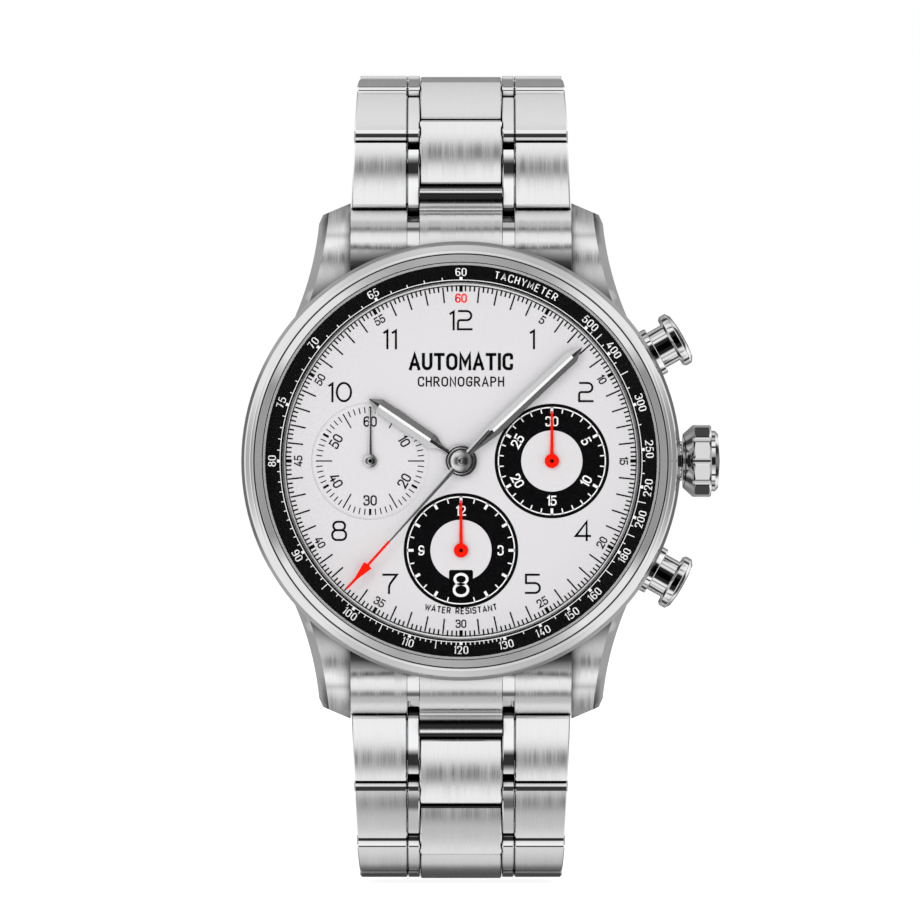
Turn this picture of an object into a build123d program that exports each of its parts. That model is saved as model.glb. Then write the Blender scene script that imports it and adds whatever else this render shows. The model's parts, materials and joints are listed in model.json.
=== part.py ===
"""Automatic chronograph wristwatch on a steel bracelet.

Frame: +X points to 3 o'clock, +Z to 12 o'clock, and the dial faces -Y.
The origin is the centre of the flat outer face of the case back.
Millimetres. Parts of the head are drawn lying on their back, with the height
above the case back along local z, and are then stood up by DIAL.
"""
import os
from math import atan2, cos, degrees, hypot, pi, radians, sin, sqrt

from build123d import *

# ---- driving dimensions: case ----
CASE_R = 22.05
CASE_BOTTOM = 0.9
CASE_TOP = 10.4
NECK_R = 20.2
NECK_TOP = 11.6
CAVITY_R = 16.2
BACK_R = 17.5
BACK_THICK = 2.0
WINDOW_R = 13.5
WINDOW_THICK = 1.2
LUG_INNER_X = 11.15
LUG_TIP = 26.0
LUG_CHAMFER = (0.55, 0.8)
SPRING_BAR_Y = 23.3
SPRING_BAR_HEIGHT = 2.9
SPRING_BAR_R = 0.9
SPRING_TIP_R = 0.5
BEZEL_R = 21.75
BEZEL_BORE = 19.8
CRYSTAL_R = 19.6
CRYSTAL_LOW = 13.02
CRYSTAL_EDGE_TOP = 14.0
CRYSTAL_DOME = 0.6

# ---- driving dimensions: dial, date and hands ----
DIAL_R = 18.0
DIAL_LOW = 11.2
DIAL_TOP = 11.6
SUBDIAL_DEPTH = 0.15
SUBDIAL_OFFSET = 9.1
HOUR_COUNTER_OFFSET = 8.95
SECONDS_R = 5.9
COUNTER_R = 5.75
DATE_WINDOW = (2.4, 3.06)
DATE_CENTRE = 12.44
DATE_RING_INNER = 10.4
DATE_RING_OUTER = 14.4
DATE_RING_LOW = 10.98
DATE_RING_TOP = 11.12
HOUR_ANGLE = 304.0
MINUTE_ANGLE = 46.8
CHRONO_ANGLE = 221.8
HAND_THICK = 0.17
HOUR_HAND_LOW = 11.95
MINUTE_HAND_LOW = 12.22
CHRONO_HAND_LOW = 12.5
COUNTER_HAND_LOW = 11.68

# ---- driving dimensions: movement ----
MOVEMENT_R = 15.0
BRIDGE_LOW = 4.7
BRIDGE_TOP = 5.6
PLATE_LOW = 8.6
PLATE_TOP = 10.6
PIVOT_R = 0.15
PIVOT_BORE = 0.2
STAFF_R = 0.3
STAFF_LOW = 5.25
STAFF_HIGH = 8.55
PIVOT_LOW = 4.8
LEVER_LOW = 7.4
LEVER_TOP = 7.58
HAIRSPRING_LOW = 6.5
HAIRSPRING_TOP = 6.7
JEWEL_R = 0.75
CENTRE = (0.0, 0.0)
BARREL_AT = (5.0, 5.2)
THIRD_AT = (-5.99, 2.52)
FOURTH_AT = (-SUBDIAL_OFFSET, 0.0)
ESCAPE_AT = (-9.8, -3.94)
BALANCE_AT = (-3.6, -10.2)
PALLET_REACH = 3.0
BALANCE_R = 3.8
PILLAR_R = 0.8
PILLAR_RADIUS = 13.6
PILLAR_ANGLES = (95, 150, 190, 285, 325)
ROTOR_R = 14.0

# ---- driving dimensions: crown and pushers ----
CROWN_HEIGHT = 6.6
CROWN_R = 3.82
PUSHER_ANGLE = 29.5
PUSHER_CAP_R = 2.8
PUSHER_NECK_R = 2.0
PUSHER_TUBE_R = 2.5
PUSHER_TUBE_START = 17.4
PUSHER_ROD_R = 1.0
CROWN_COLLAR_R = 3.075
CROWN_TUBE_R = 1.5
STEM_R = 0.62

# ---- driving dimensions: bracelet and clasp ----
PITCH = 7.5
HALF_THICK = 1.5
HEAD_R = 1.68
SOCKET_R = 1.80
PIN_R = 0.5
PIN_BORE = 0.55
CENTRE_W = 8.3
STRIP_W = 1.2
BAND_GAP = 0.05
WIDTH_AT_CASE = 22.0
TAPER = 0.23
BEVEL = 0.16
UPPER_START = (-3.2, 26.2)
UPPER_TURNS = (26, 57, 82, 105, 128, 152)
LOWER_START = (-3.2, -26.35)
LOWER_TURNS = (25, 45, 68, 90, 112, 134, 156, 172, 180)
COVER_HALF_W = 9.2
FOLD_FROM_LOWER = 5.3
FOLD_DEPTH = -1.2
COVER_HINGE_AT = 4.5
COVER_HINGE_DEPTH = -0.55
OUTER_BLADE_HALF_W = 6.6
INNER_BLADE_HALF_W = 5.4
INNER_BLADE_LEVEL = (-0.95, -0.15)
OUTER_BLADE_LEVEL = (-2.4, -1.6)
FOLD_KNUCKLE_R = 1.0
BUTTON_RUN = 24.0
BUTTON_LEVEL = -0.2

DIAL = Rot(90, 0, 0)


# ---- helpers ----
def save(node, *shapes):
    """Write one node, made of all the separate solids in shapes."""
    solids = [solid for shape in shapes for solid in shape.solids()]
    body = solids[0] if len(solids) == 1 else Compound(children=solids)
    body.label = node
    export_step(body, f"parts/{node}.step")


def disc(radius, low, high, at=CENTRE):
    """Solid cylinder standing between two heights."""
    return Pos(at[0], at[1], (low + high) / 2) * Cylinder(radius, high - low)


def ring(inner, outer, low, high, at=CENTRE):
    """Flat ring between two heights."""
    return disc(outer, low, high, at) - disc(inner, low - 1, high + 1, at)


def turned(*points):
    """Solid turned about z from an outline of (radius, height) points."""
    outline = Plane.XZ * make_face(Polyline(*points, close=True))
    return revolve(outline, Axis.Z)


def polar(radius, angle):
    """Plan point at an angle in degrees, anticlockwise from 3 o'clock."""
    return radius * cos(radians(angle)), radius * sin(radians(angle))


def clock(angle):
    """Turn a shape drawn pointing at 12 o'clock clockwise by an angle."""
    return Rot(0, 0, -angle)


def slab(outline, low, high):
    """Extrude a plan outline between two heights."""
    return Pos(0, 0, low) * extrude(make_face(outline), high - low)


def radial_bar(radius, start, end, angle, height=CROWN_HEIGHT):
    """Cylinder that runs outwards along a radius of the case."""
    bar = Pos((start + end) / 2, 0, height) * Rot(0, 90, 0) * Cylinder(radius, end - start)
    return Rot(0, 0, angle) * bar


# ---- case ----
def lug():
    """One lug in the first quadrant: its plan outline cut by its side profile."""
    plan = Curve() + [
        Polyline((13.0, 4.0), (LUG_INNER_X, 8.0), (LUG_INNER_X, LUG_TIP), (13.9, 24.8), (14.3, 23.9)),
        ThreePointArc((14.3, 23.9), (16.35, 15.2), (20.4, 8.0)),
        Polyline((20.4, 8.0), (17.0, 4.0), (13.0, 4.0)),
    ]
    side = Curve() + [
        Polyline((26.0, 3.9), (26.0, 1.7), (24.8, 0.6), (22.5, 0.5), (4.0, 0.9), (4.0, 10.3), (11.0, 10.3)),
        ThreePointArc((11.0, 10.3), (19.8, 8.3), (26.0, 3.9)),
    ]
    side_cut = Pos(25, 0, 0) * extrude(Plane.YZ * make_face(side), 50, dir=(-1, 0, 0))
    block = slab(plan, -1, 12) & side_cut
    upper = [e for e in block.edges() if e.center().Z > 5.2 and e.center().X > 14.6 and e.center().Y > 11]
    return chamfer(upper, *LUG_CHAMFER)


def case_middle():
    """Case middle with four lugs, a neck for the bezel and a seat for the back."""
    shell = turned(
        (BACK_R, CASE_BOTTOM), (20.7, CASE_BOTTOM), (CASE_R, 3.2), (CASE_R, 9.7), (21.45, CASE_TOP),
        (NECK_R, CASE_TOP), (NECK_R, NECK_TOP), (DIAL_R + 0.05, NECK_TOP), (DIAL_R + 0.05, DIAL_LOW),
        (CAVITY_R, DIAL_LOW), (CAVITY_R, 2.4), (BACK_R, 2.4),
    )
    one = lug() - disc(CASE_R - 1.5, -2, 13)
    lugs = one + mirror(one, Plane.YZ)
    lugs = lugs + mirror(lugs, Plane.XZ)
    body = shell + lugs
    for y_bar in (SPRING_BAR_Y, -SPRING_BAR_Y):
        body -= cross_bar(SPRING_TIP_R, y_bar, SPRING_BAR_HEIGHT, LUG_INNER_X + 1.2)
    body -= radial_bar(CROWN_TUBE_R, 10, 24, 0)
    body -= radial_bar(CROWN_COLLAR_R, 21.2, 24, 0)
    for angle in (PUSHER_ANGLE, -PUSHER_ANGLE):
        body -= radial_bar(PUSHER_TUBE_R, PUSHER_TUBE_START, 24, angle)
        body -= radial_bar(PUSHER_ROD_R + 0.3, 10, 18, angle)
    return body


def bezel():
    """Polished bezel: round outer band, raised bright band and inner slope."""
    outline = Curve() + [
        Line((NECK_R, CASE_TOP), (BEZEL_R, CASE_TOP)),
        Line((BEZEL_R, CASE_TOP), (BEZEL_R, 11.2)),
        ThreePointArc((BEZEL_R, 11.2), (21.6, 11.85), (21.2, 12.35)),
        ThreePointArc((21.2, 12.35), (21.06, 12.62), (20.8, 12.78)),
        Polyline((20.8, 12.78), (20.62, 12.78), (19.95, 13.5), (BEZEL_BORE, 13.5), (BEZEL_BORE, NECK_TOP),
                 (NECK_R, NECK_TOP), (NECK_R, CASE_TOP)),
    ]
    return revolve(Plane.XZ * make_face(outline), Axis.Z)


def crystal():
    """Domed sapphire with a bevelled edge."""
    rim_r = CRYSTAL_R - 0.25
    dome_r = (rim_r ** 2 + CRYSTAL_DOME ** 2) / (2 * CRYSTAL_DOME)
    top = CRYSTAL_EDGE_TOP + CRYSTAL_DOME
    blank = turned(
        (0, CRYSTAL_LOW), (CRYSTAL_R, CRYSTAL_LOW), (CRYSTAL_R, CRYSTAL_EDGE_TOP - 0.25),
        (rim_r, CRYSTAL_EDGE_TOP), (rim_r, top), (0, top),
    )
    return blank & (Pos(0, 0, top - dome_r) * Sphere(dome_r))


def case_back():
    """Screwed ring that frames the display window, with six key slots."""
    body = turned(
        (WINDOW_R, 0), (16.9, 0), (BACK_R, 0.5), (BACK_R, BACK_THICK), (12.7, BACK_THICK),
        (12.7, WINDOW_THICK), (WINDOW_R, WINDOW_THICK),
    )
    for index in range(6):
        x, y = polar(16.6, 60 * index + 30)
        body -= Pos(x, y, 0) * Rot(0, 0, 60 * index + 30) * Box(1.4, 2.2, 1.0)
    return body


def case_tubes():
    """Crown tube and the two pusher tubes, each with its outer collar."""
    crown_tube = radial_bar(CROWN_COLLAR_R, 21.2, 21.85, 0) + radial_bar(2.0, 21.5, 22.2, 0)
    crown_tube += radial_bar(CROWN_TUBE_R, 17.0, 21.5, 0)
    crown_tube -= radial_bar(0.8, 10, 24, 0)
    tubes = [crown_tube]
    for angle in (PUSHER_ANGLE, -PUSHER_ANGLE):
        tube = radial_bar(PUSHER_TUBE_R, PUSHER_TUBE_START, 22.6, angle)
        tube -= radial_bar(PUSHER_NECK_R + 0.06, 18.6, 24, angle)
        tube -= radial_bar(PUSHER_ROD_R + 0.06, 10, 20, angle)
        tubes.append(tube)
    return tubes


# ---- dial side ----
def tachymeter_ring():
    """Sloped black flange with a raised bright lip at its inner edge."""
    return turned(
        (17.6, DIAL_TOP), (BEZEL_BORE - 0.02, DIAL_TOP),
        (BEZEL_BORE - 0.02, CRYSTAL_LOW), (19.6, CRYSTAL_LOW),
        (18.02, 12.0), (18.0, 11.9), (17.6, 11.9),
    )


def dial():
    """Dial plate with three sunk counters and the date window."""
    plate = disc(DIAL_R, DIAL_LOW, DIAL_TOP)
    for at, radius in (
        ((-SUBDIAL_OFFSET, 0), SECONDS_R),
        ((SUBDIAL_OFFSET, 0), COUNTER_R),
        ((0, -HOUR_COUNTER_OFFSET), COUNTER_R),
    ):
        plate -= disc(radius, DIAL_TOP - SUBDIAL_DEPTH, DIAL_TOP + 1, at)
        plate -= disc(0.45, DIAL_LOW - 1, DIAL_TOP + 1, at)
    plate -= disc(1.3, DIAL_LOW - 1, DIAL_TOP + 1)
    window = Pos(0, -DATE_CENTRE) * RectangleRounded(DATE_WINDOW[0], DATE_WINDOW[1], 0.2)
    plate -= Pos(0, 0, DIAL_LOW - 1) * extrude(window, 3)
    return plate


def baton_hand(tip, neck_end, shoulder, width, point):
    """Baton hand that points at 12: slim neck, parallel body, pencil tip."""
    half = width / 2
    neck = 0.24
    right = [
        (neck, 0.5), (neck + 0.05, neck_end), (half, shoulder), (half * 0.94, tip - point), (0.04, tip),
    ]
    left = [(-x, y) for x, y in reversed(right)]
    return Polyline(*right, *left, close=True)


def hour_hand():
    low = HOUR_HAND_LOW
    blade = slab(baton_hand(11.1, 2.5, 3.3, 1.4, 1.2), low, low + HAND_THICK)
    hub = disc(1.6, low - 0.05, low + HAND_THICK)
    tube = disc(1.15, 10.75, low)
    wheel = toothed_wheel(3.4, 48, 10.78, 10.95)
    return clock(HOUR_ANGLE) * (blade + hub + tube + wheel - disc(0.9, 10, 13))


def minute_hand():
    low = MINUTE_HAND_LOW
    blade = slab(baton_hand(16.6, 3.6, 4.6, 1.35, 1.35), low, low + HAND_THICK)
    hub = disc(1.35, low - 0.05, low + HAND_THICK)
    tube = disc(0.85, 10.7, low)
    return clock(MINUTE_ANGLE) * (blade + hub + tube - disc(0.54, 10, 13))


def chrono_seconds_hand():
    """Tapered needle with an arrowhead on its own long staff."""
    low = CHRONO_HAND_LOW
    right = [(0.3, -4.2), (0.28, 0), (0.1, 13.9), (0.6, 13.9), (0.09, 15.7), (0.05, 17.2)]
    left = [(-x, y) for x, y in reversed(right)]
    needle = slab(Polyline(*right, *left, close=True), low, low + 0.12)
    hub = disc(1.08, low - 0.04, low + 0.26)
    long_staff = disc(0.25, STAFF_LOW, low + 0.36) + disc(PIVOT_R, PIVOT_LOW, STAFF_LOW + 0.05)
    return clock(CHRONO_ANGLE) * (needle + hub + long_staff)


def counter_hand(at, length, hub_radius, staff_low, staff_radius=0.2):
    """Small hand of a counter, pointing at 12, on its staff."""
    low = COUNTER_HAND_LOW
    blade = slab(Polyline((0.2, 0), (0.1, length), (-0.1, length), (-0.2, 0), close=True), low, low + 0.1)
    hand = blade + disc(hub_radius, low - 0.03, low + 0.15) + disc(staff_radius, staff_low, low + 0.22)
    return Pos(at[0], at[1], 0) * hand


# ---- movement ----
def toothed_wheel(pitch_radius, teeth, low, high, spokes=0):
    """Wheel whose short teeth stop just inside its pitch circle."""
    tip = pitch_radius - 0.015
    root = tip - 3.0 * pitch_radius / teeth
    points = []
    for tooth in range(teeth):
        for radius, share in ((root, -0.30), (tip, -0.16), (tip, 0.16), (root, 0.30)):
            angle = 2 * pi * (tooth + share) / teeth
            points.append((radius * cos(angle), radius * sin(angle)))
    wheel = slab(Polyline(*points, close=True), low, high)
    for spoke in range(spokes):
        x, y = polar(root * 0.58, 360 * spoke / spokes)
        wheel -= disc(root * 0.27, low - 1, high + 1, (x, y))
    return wheel


def staff(low=STAFF_LOW, high=STAFF_HIGH, radius=STAFF_R):
    """Wheel staff with a thin pivot at each end."""
    return disc(radius, low, high) + disc(PIVOT_R, low - 0.45, high + 0.5)


def at_plan(point, shape):
    """Move a shape to a plan position of the movement."""
    return Pos(point[0], point[1], 0) * shape


def third_wheel():
    wheel = toothed_wheel(3.53, 60, 7.3, 7.5, 5)
    pinion = toothed_wheel(0.72, 10, 5.9, 6.4)
    return at_plan(THIRD_AT, wheel + pinion + staff())


def fourth_wheel():
    body = toothed_wheel(3.6, 72, 6.7, 6.9, 5) + toothed_wheel(0.47, 8, 7.1, 7.7)
    body += disc(STAFF_R, STAFF_LOW, 8.5) + disc(PIVOT_R, PIVOT_LOW, STAFF_LOW + 0.05)
    body += disc(0.2, 8.4, 11.5)
    return at_plan(FOURTH_AT, body)


def centre_wheel():
    body = toothed_wheel(5.78, 80, 6.0, 6.2, 5) + toothed_wheel(1.03, 14, 7.3, 8.2)
    return body + disc(0.5, 5.68, 12.1) - disc(0.3, 5, 13)


def escape_wheel():
    """Escape wheel with twenty hooked teeth and its pinion."""
    points = []
    for tooth in range(20):
        for radius, share in ((1.6, 0.0), (2.2, 0.28), (2.14, 0.36), (1.62, 0.62)):
            angle = 2 * pi * (tooth + share) / 20
            points.append((radius * cos(angle), radius * sin(angle)))
    wheel = slab(Polyline(*points, close=True), 7.4, 7.55)
    for spoke in range(4):
        x, y = polar(0.95, 90 * spoke)
        wheel -= disc(0.42, 7, 8, (x, y))
    return at_plan(ESCAPE_AT, wheel + toothed_wheel(0.4, 8, 6.6, 7.2) + staff())


def barrel():
    """Mainspring barrel with its toothed rim."""
    body = toothed_wheel(6.17, 84, 7.4, 8.1) + disc(5.6, 6.4, 8.1)
    body -= ring(2.2, 2.5, 6.0, 6.5)
    return at_plan(BARREL_AT, body + staff(radius=0.8))


def pallet_pivot():
    """Plan position of the pallet staff, on the line from escape wheel to balance."""
    dx = BALANCE_AT[0] - ESCAPE_AT[0]
    dy = BALANCE_AT[1] - ESCAPE_AT[1]
    share = PALLET_REACH / hypot(dx, dy)
    return ESCAPE_AT[0] + dx * share, ESCAPE_AT[1] + dy * share


def pallet_fork():
    """Lever with two pallet arms and a forked tail, pointing at the balance."""
    right = [(0.22, -0.5), (0.16, 3.1), (0.42, 3.6), (0.42, 4.1), (0.2, 4.1), (0.14, 3.7)]
    left = [(-x, y) for x, y in reversed(right)]
    lever = slab(Polyline(*right, *left, close=True), LEVER_LOW, LEVER_TOP)
    arms_plan = Polyline(
        (1.5, 0.2), (1.7, -0.25), (0.3, -0.2), (-0.3, -0.2), (-1.7, -0.25), (-1.5, 0.2), (0, 0.45),
        close=True,
    )
    arms = slab(arms_plan, LEVER_LOW, LEVER_TOP)
    heading = degrees(atan2(BALANCE_AT[1] - ESCAPE_AT[1], BALANCE_AT[0] - ESCAPE_AT[0]))
    fork = Rot(0, 0, heading - 90) * (lever + arms)
    return at_plan(pallet_pivot(), fork + staff(5.9, STAFF_HIGH, 0.2) + disc(PIVOT_R, 5.4, 6.0))


def balance_wheel():
    """Balance with three arms, rim weights and the roller."""
    wheel = ring(BALANCE_R - 0.45, BALANCE_R, 5.85, 6.25)
    for arm in range(3):
        spoke = Pos(BALANCE_R / 2 - 0.1, 0, 5.98) * Box(BALANCE_R - 0.2, 0.5, 0.26)
        wheel += Rot(0, 0, 120 * arm + 30) * spoke
        x, y = polar(BALANCE_R - 0.62, 120 * arm + 90)
        wheel += disc(0.26, 5.9, 6.2, (x, y))
    roller = disc(0.75, 7.35, 7.6)
    return at_plan(BALANCE_AT, wheel + roller + staff())


def hairspring():
    """Flat spiral from near the balance collet out to its stud on the main plate."""
    turns = 7
    inner = 0.55
    outer = 2.9
    half = 0.035
    steps = turns * 20
    line = []
    for step in range(steps + 1):
        share = step / steps
        line.append((inner + (outer - inner) * share, 360 * turns * share))
    edge_out = [polar(radius + half, angle) for radius, angle in line]
    edge_in = [polar(radius - half, angle) for radius, angle in reversed(line)]
    spiral = slab(Polyline(*edge_out, *edge_in, close=True), HAIRSPRING_LOW, HAIRSPRING_TOP)
    stud = disc(0.22, HAIRSPRING_LOW, PLATE_LOW, polar(outer + 0.2, 0))
    return at_plan(BALANCE_AT, spiral + stud)


def pillar_points():
    return [polar(PILLAR_RADIUS, angle) for angle in PILLAR_ANGLES]


def bridges():
    """Large bridge on pillars with a boss for the rotor, and the balance cock."""
    plate = disc(14.5, BRIDGE_LOW, BRIDGE_TOP)
    plate -= disc(4.5, BRIDGE_LOW - 1, BRIDGE_TOP + 1, BALANCE_AT)
    plate -= Pos(BALANCE_AT[0] * 1.25, BALANCE_AT[1] * 1.25, 5) * Rot(0, 0, 70) * Box(8, 10, 4)
    plate -= Pos(BARREL_AT[0] + 1.6, BARREL_AT[1] + 1.8, 5) * Cylinder(2.6, 4)
    plate -= Pos(13.2, 0, 5) * Box(6, 4.2, 4)
    for point in pillar_points():
        plate += disc(PILLAR_R, BRIDGE_LOW, PLATE_LOW, point)
        plate -= disc(0.4, BRIDGE_LOW - 1, 6.2, point)
    plate += disc(1.2, 3.15, BRIDGE_LOW + 0.1)
    for point in (CENTRE, THIRD_AT, FOURTH_AT, ESCAPE_AT):
        plate -= disc(JEWEL_R, BRIDGE_LOW, BRIDGE_TOP + 1, point)
    plate -= disc(0.85, BRIDGE_LOW - 1, BRIDGE_TOP + 1, BARREL_AT)
    plate -= disc(PIVOT_BORE, BRIDGE_LOW, BRIDGE_TOP + 1, pallet_pivot())
    heading = degrees(atan2(BALANCE_AT[1], BALANCE_AT[0]))
    cock = slab(Polyline((2.9, 4.4), (1.6, 4.4), (0.9, 1.6), (-0.6, 1.1), (-1.1, 0.0), (-0.6, -1.1),
                         (0.9, -1.6), (1.6, -4.4), (2.9, -4.4), (3.7, 0.0), close=True), BRIDGE_LOW, 5.5)
    for side in (-1, 1):
        cock += disc(0.5, BRIDGE_LOW, PLATE_LOW, (2.25, 3.95 * side))
    cock = at_plan(BALANCE_AT, Rot(0, 0, heading) * cock)
    cock -= disc(JEWEL_R, BRIDGE_LOW - 1, BRIDGE_TOP + 1, BALANCE_AT)
    cock &= disc(14.8, 0, 12)
    return plate.solids().sort_by(SortBy.VOLUME)[-1], cock


def jewels():
    """Ruby bearings set in the bridges."""
    points = (CENTRE, THIRD_AT, FOURTH_AT, ESCAPE_AT, BALANCE_AT)
    return [ring(PIVOT_BORE, JEWEL_R, BRIDGE_LOW, 5.2, point) for point in points]


def slotted_screw(radius, low, high, shank):
    """Cheese-head screw with its slot towards the case back."""
    screw = disc(radius, low, high) + disc(0.4, high, high + shank)
    return screw - Pos(0, 0, low) * Box(2 * radius + 1, 0.3, 0.24)


def movement_screws():
    """Bridge screws and the rotor's central screw."""
    screws = [at_plan(point, slotted_screw(0.72, 4.4, BRIDGE_LOW, 1.4)) for point in pillar_points()]
    centre = disc(1.8, 2.7, 3.15) - Pos(0, 0, 2.7) * Box(4, 0.45, 0.3)
    return screws + [centre]


def main_plate():
    """Main plate with arbor holes and the bearing block of the winding stem."""
    plate = disc(MOVEMENT_R, PLATE_LOW, PLATE_TOP)
    block = Pos(14.0, 0, (4.9 + PLATE_LOW) / 2) * Box(1.6, 3.6, PLATE_LOW - 4.9)
    plate += block
    plate -= radial_bar(0.8, 10, 16, 0)
    for point in (BARREL_AT, THIRD_AT, ESCAPE_AT, BALANCE_AT, pallet_pivot()):
        plate -= disc(PIVOT_BORE, PLATE_LOW - 1, 9.4, point)
    plate -= disc(0.25, PLATE_LOW - 1, PLATE_TOP + 1, FOURTH_AT)
    plate -= disc(0.55, PLATE_LOW - 1, PLATE_TOP + 1)
    for point in ((SUBDIAL_OFFSET, 0), (0, -HOUR_COUNTER_OFFSET)):
        plate -= disc(0.25, 9.0, PLATE_TOP + 1, point)
    return plate & disc(MOVEMENT_R, 0, 12)


def movement_ring():
    """Ring that centres the movement in the case, slotted for stem and pushers."""
    body = ring(MOVEMENT_R + 0.02, CAVITY_R - 0.02, 4.2, 11.0)
    body -= radial_bar(1.6, 10, 20, 0)
    for angle in (PUSHER_ANGLE, -PUSHER_ANGLE):
        body -= radial_bar(1.4, 10, 20, angle)
    return body


def rotor():
    """Winding rotor: heavy half rim at the bottom, openwork web and hub."""
    plate = disc(ROTOR_R - 0.3, 3.2, 3.7) + disc(ROTOR_R, 2.65, 4.3)
    plate -= disc(11.2, 2, 3.2) + disc(11.2, 3.7, 5)
    plate -= Pos(0, 20, 3) * Box(60, 40, 6)
    plate += disc(3.0, 3.2, 3.9)
    for angle in (-150, -110, -70, -30):
        x, y = polar(7.2, angle)
        plate -= Pos(x, y, 3.4) * Rot(0, 0, angle) * Box(5.6, 2.6, 2)
    return plate - disc(1.25, 2, 5)


# ---- crown, stem and pushers ----
def crown():
    """Fluted crown with a coned skirt, a faceted grip and a domed end."""
    grip = Pos(23.35, 0, 0) * Rot(0, 90, 0) * extrude(RegularPolygon(CROWN_R, 10), 1.8)
    grip = grip & turned_x((0, 23.3), (CROWN_R - 0.35, 23.3), (CROWN_R, 23.65), (CROWN_R, 24.8),
                           (CROWN_R - 0.35, 25.15), (0, 25.15))
    cone = turned_x((0, 22.3), (2.7, 22.3), (3.65, 23.35), (0, 23.35))
    end = turned_x((0, 25.15), (3.05, 25.15), (3.05, 25.55), (2.7, 25.85), (0, 26.05))
    body = grip + cone + end
    for flute in range(10):
        groove = Pos(24.25, 0, CROWN_R + 0.36) * Rot(0, 90, 0) * Cylinder(0.62, 3.2)
        body -= Rot(36 * flute, 0, 0) * groove
    body -= turned_x((0, 22.0), (STEM_R, 22.0), (STEM_R, 24.0), (0, 24.0))
    return Pos(0, 0, CROWN_HEIGHT) * body


def turned_x(*points):
    """Solid turned about the x axis from (radius, x) points."""
    outline = make_face(Polyline(*[(x, radius) for radius, x in points], close=True))
    return revolve(outline, Axis.X)


def stem():
    """Winding stem: round outside, square where it drives the pinion."""
    round_part = turned_x((0, 13.2), (STEM_R, 13.2), (STEM_R, 24.0), (0, 24.0))
    square = Pos(12.0, 0, 0) * Box(3.4, 0.8, 0.8)
    return Pos(0, 0, CROWN_HEIGHT) * (round_part + square)


def winding_pinion():
    """Winding pinion with end teeth and a square hole for the stem."""
    body = turned_x((0, 11.2), (1.3, 11.2), (1.3, 11.9), (1.0, 12.0), (1.0, 12.9), (0, 12.9))
    body -= Pos(12, 0, 0) * Box(4, 0.86, 0.86)
    for tooth in range(10):
        notch = Pos(11.2, 0, 1.25) * Box(0.5, 0.3, 0.5)
        body -= Rot(36 * tooth, 0, 0) * notch
    return Pos(0, 0, CROWN_HEIGHT) * body


def pusher(angle):
    """Chronograph pusher: domed cap, neck that slides in its tube, and stem."""
    cap = turned_x((0, 24.2), (PUSHER_CAP_R - 0.25, 24.2), (PUSHER_CAP_R, 24.45), (PUSHER_CAP_R, 25.1),
                   (PUSHER_CAP_R - 0.5, 25.45), (0, 25.65))
    neck = turned_x((0, 22.0), (PUSHER_NECK_R, 22.0), (PUSHER_NECK_R, 24.2), (0, 24.2))
    rod = turned_x((0, 16.6), (PUSHER_ROD_R, 16.6), (PUSHER_ROD_R, 22.0), (0, 22.0))
    return Rot(0, 0, angle) * Pos(0, 0, CROWN_HEIGHT) * (cap + neck + rod)


def pusher_spring(angle):
    """Return spring round a pusher stem, drawn at its pressed length."""
    coil_radius = 1.55
    path = Helix(pitch=0.56, height=2.1, radius=coil_radius)
    wire = sweep(Plane(origin=path @ 0, z_dir=path % 0) * Circle(0.16), path=path)
    return Rot(0, 0, angle) * Pos(18.8, 0, CROWN_HEIGHT) * Rot(0, 90, 0) * wire


# ---- bracelet ----
def block_outline(start, end, head_round, tail_round):
    """Side outline of a link block in (run, thickness) between two pins."""
    strip = Pos((start + end) / 2, 0) * Rectangle(end - start, 2 * HALF_THICK)
    if head_round:
        strip += (Circle(HEAD_R) & Rectangle(2 * HEAD_R, 2 * HALF_THICK))
    if tail_round:
        strip += Pos(PITCH, 0) * (Circle(HEAD_R) & Rectangle(2 * HEAD_R, 2 * HALF_THICK))
    return strip


def block(outline, x_low, x_high, limit=None):
    """Extrude a side outline across the bracelet, trim it and bevel its two flanks."""
    solid = Pos(x_low, 0, 0) * extrude(Plane.YZ * outline, x_high - x_low)
    if limit:
        solid = solid & limit
    for end in (0, -1):
        flank = solid.faces().sort_by(Axis.X)[end]
        solid = chamfer(flank.outer_wire().edges(), BEVEL)
    return solid


def cross_pin(radius, run, half_length, level=0.0):
    """Pin across the bracelet at a place along its run."""
    return Pos(0, run, level) * Rot(0, 90, 0) * Cylinder(radius, 2 * half_length)


def link(half_head, half_tail, socket=True):
    """One link: two outer blocks, two polished strips, centre block and pins.

    Local x is across the bracelet, y along it from one pin to the next, and z
    outwards. Without a socket the outer tail is cut square, for a free end.
    """
    inner_x = CENTRE_W / 2 + BAND_GAP + STRIP_W + BAND_GAP
    tail = PITCH - 0.4 if socket else PITCH - 2.05
    outer = block_outline(0, tail, True, False)
    if socket:
        outer -= Pos(PITCH, 0) * Circle(SOCKET_R)
    centre = block_outline(0.4, PITCH, False, True) - Circle(SOCKET_R)
    strip = block_outline(0, 5.3, True, False)
    head_corner = (half_head + TAPER * 3 / PITCH, -3)
    plan = Polyline((0, -3), head_corner, (half_tail, PITCH), (0, PITCH), close=True)
    wedge = slab(plan, -3, 3)
    side = block(outer, inner_x, half_head + 0.3, wedge)
    hole = cross_pin(PIN_R, 0, 12) + cross_pin(PIN_R, PITCH / 2, 12)
    side -= hole
    rail = block(strip, CENTRE_W / 2 + BAND_GAP, CENTRE_W / 2 + BAND_GAP + STRIP_W) - hole
    middle = block(centre, -CENTRE_W / 2, CENTRE_W / 2) - hole
    middle -= cross_pin(PIN_BORE if socket else PIN_R, PITCH, 6)
    pieces = [side, mirror(side, Plane.YZ), rail, mirror(rail, Plane.YZ), middle]
    pieces.append(cross_pin(PIN_R, 0, half_head - 0.5))
    pieces.append(cross_pin(PIN_R, PITCH / 2, half_tail - 0.5))
    if not socket:
        pieces.append(cross_pin(PIN_R, PITCH, CENTRE_W / 2 - 0.1))
    return Compound(children=pieces)


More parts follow.
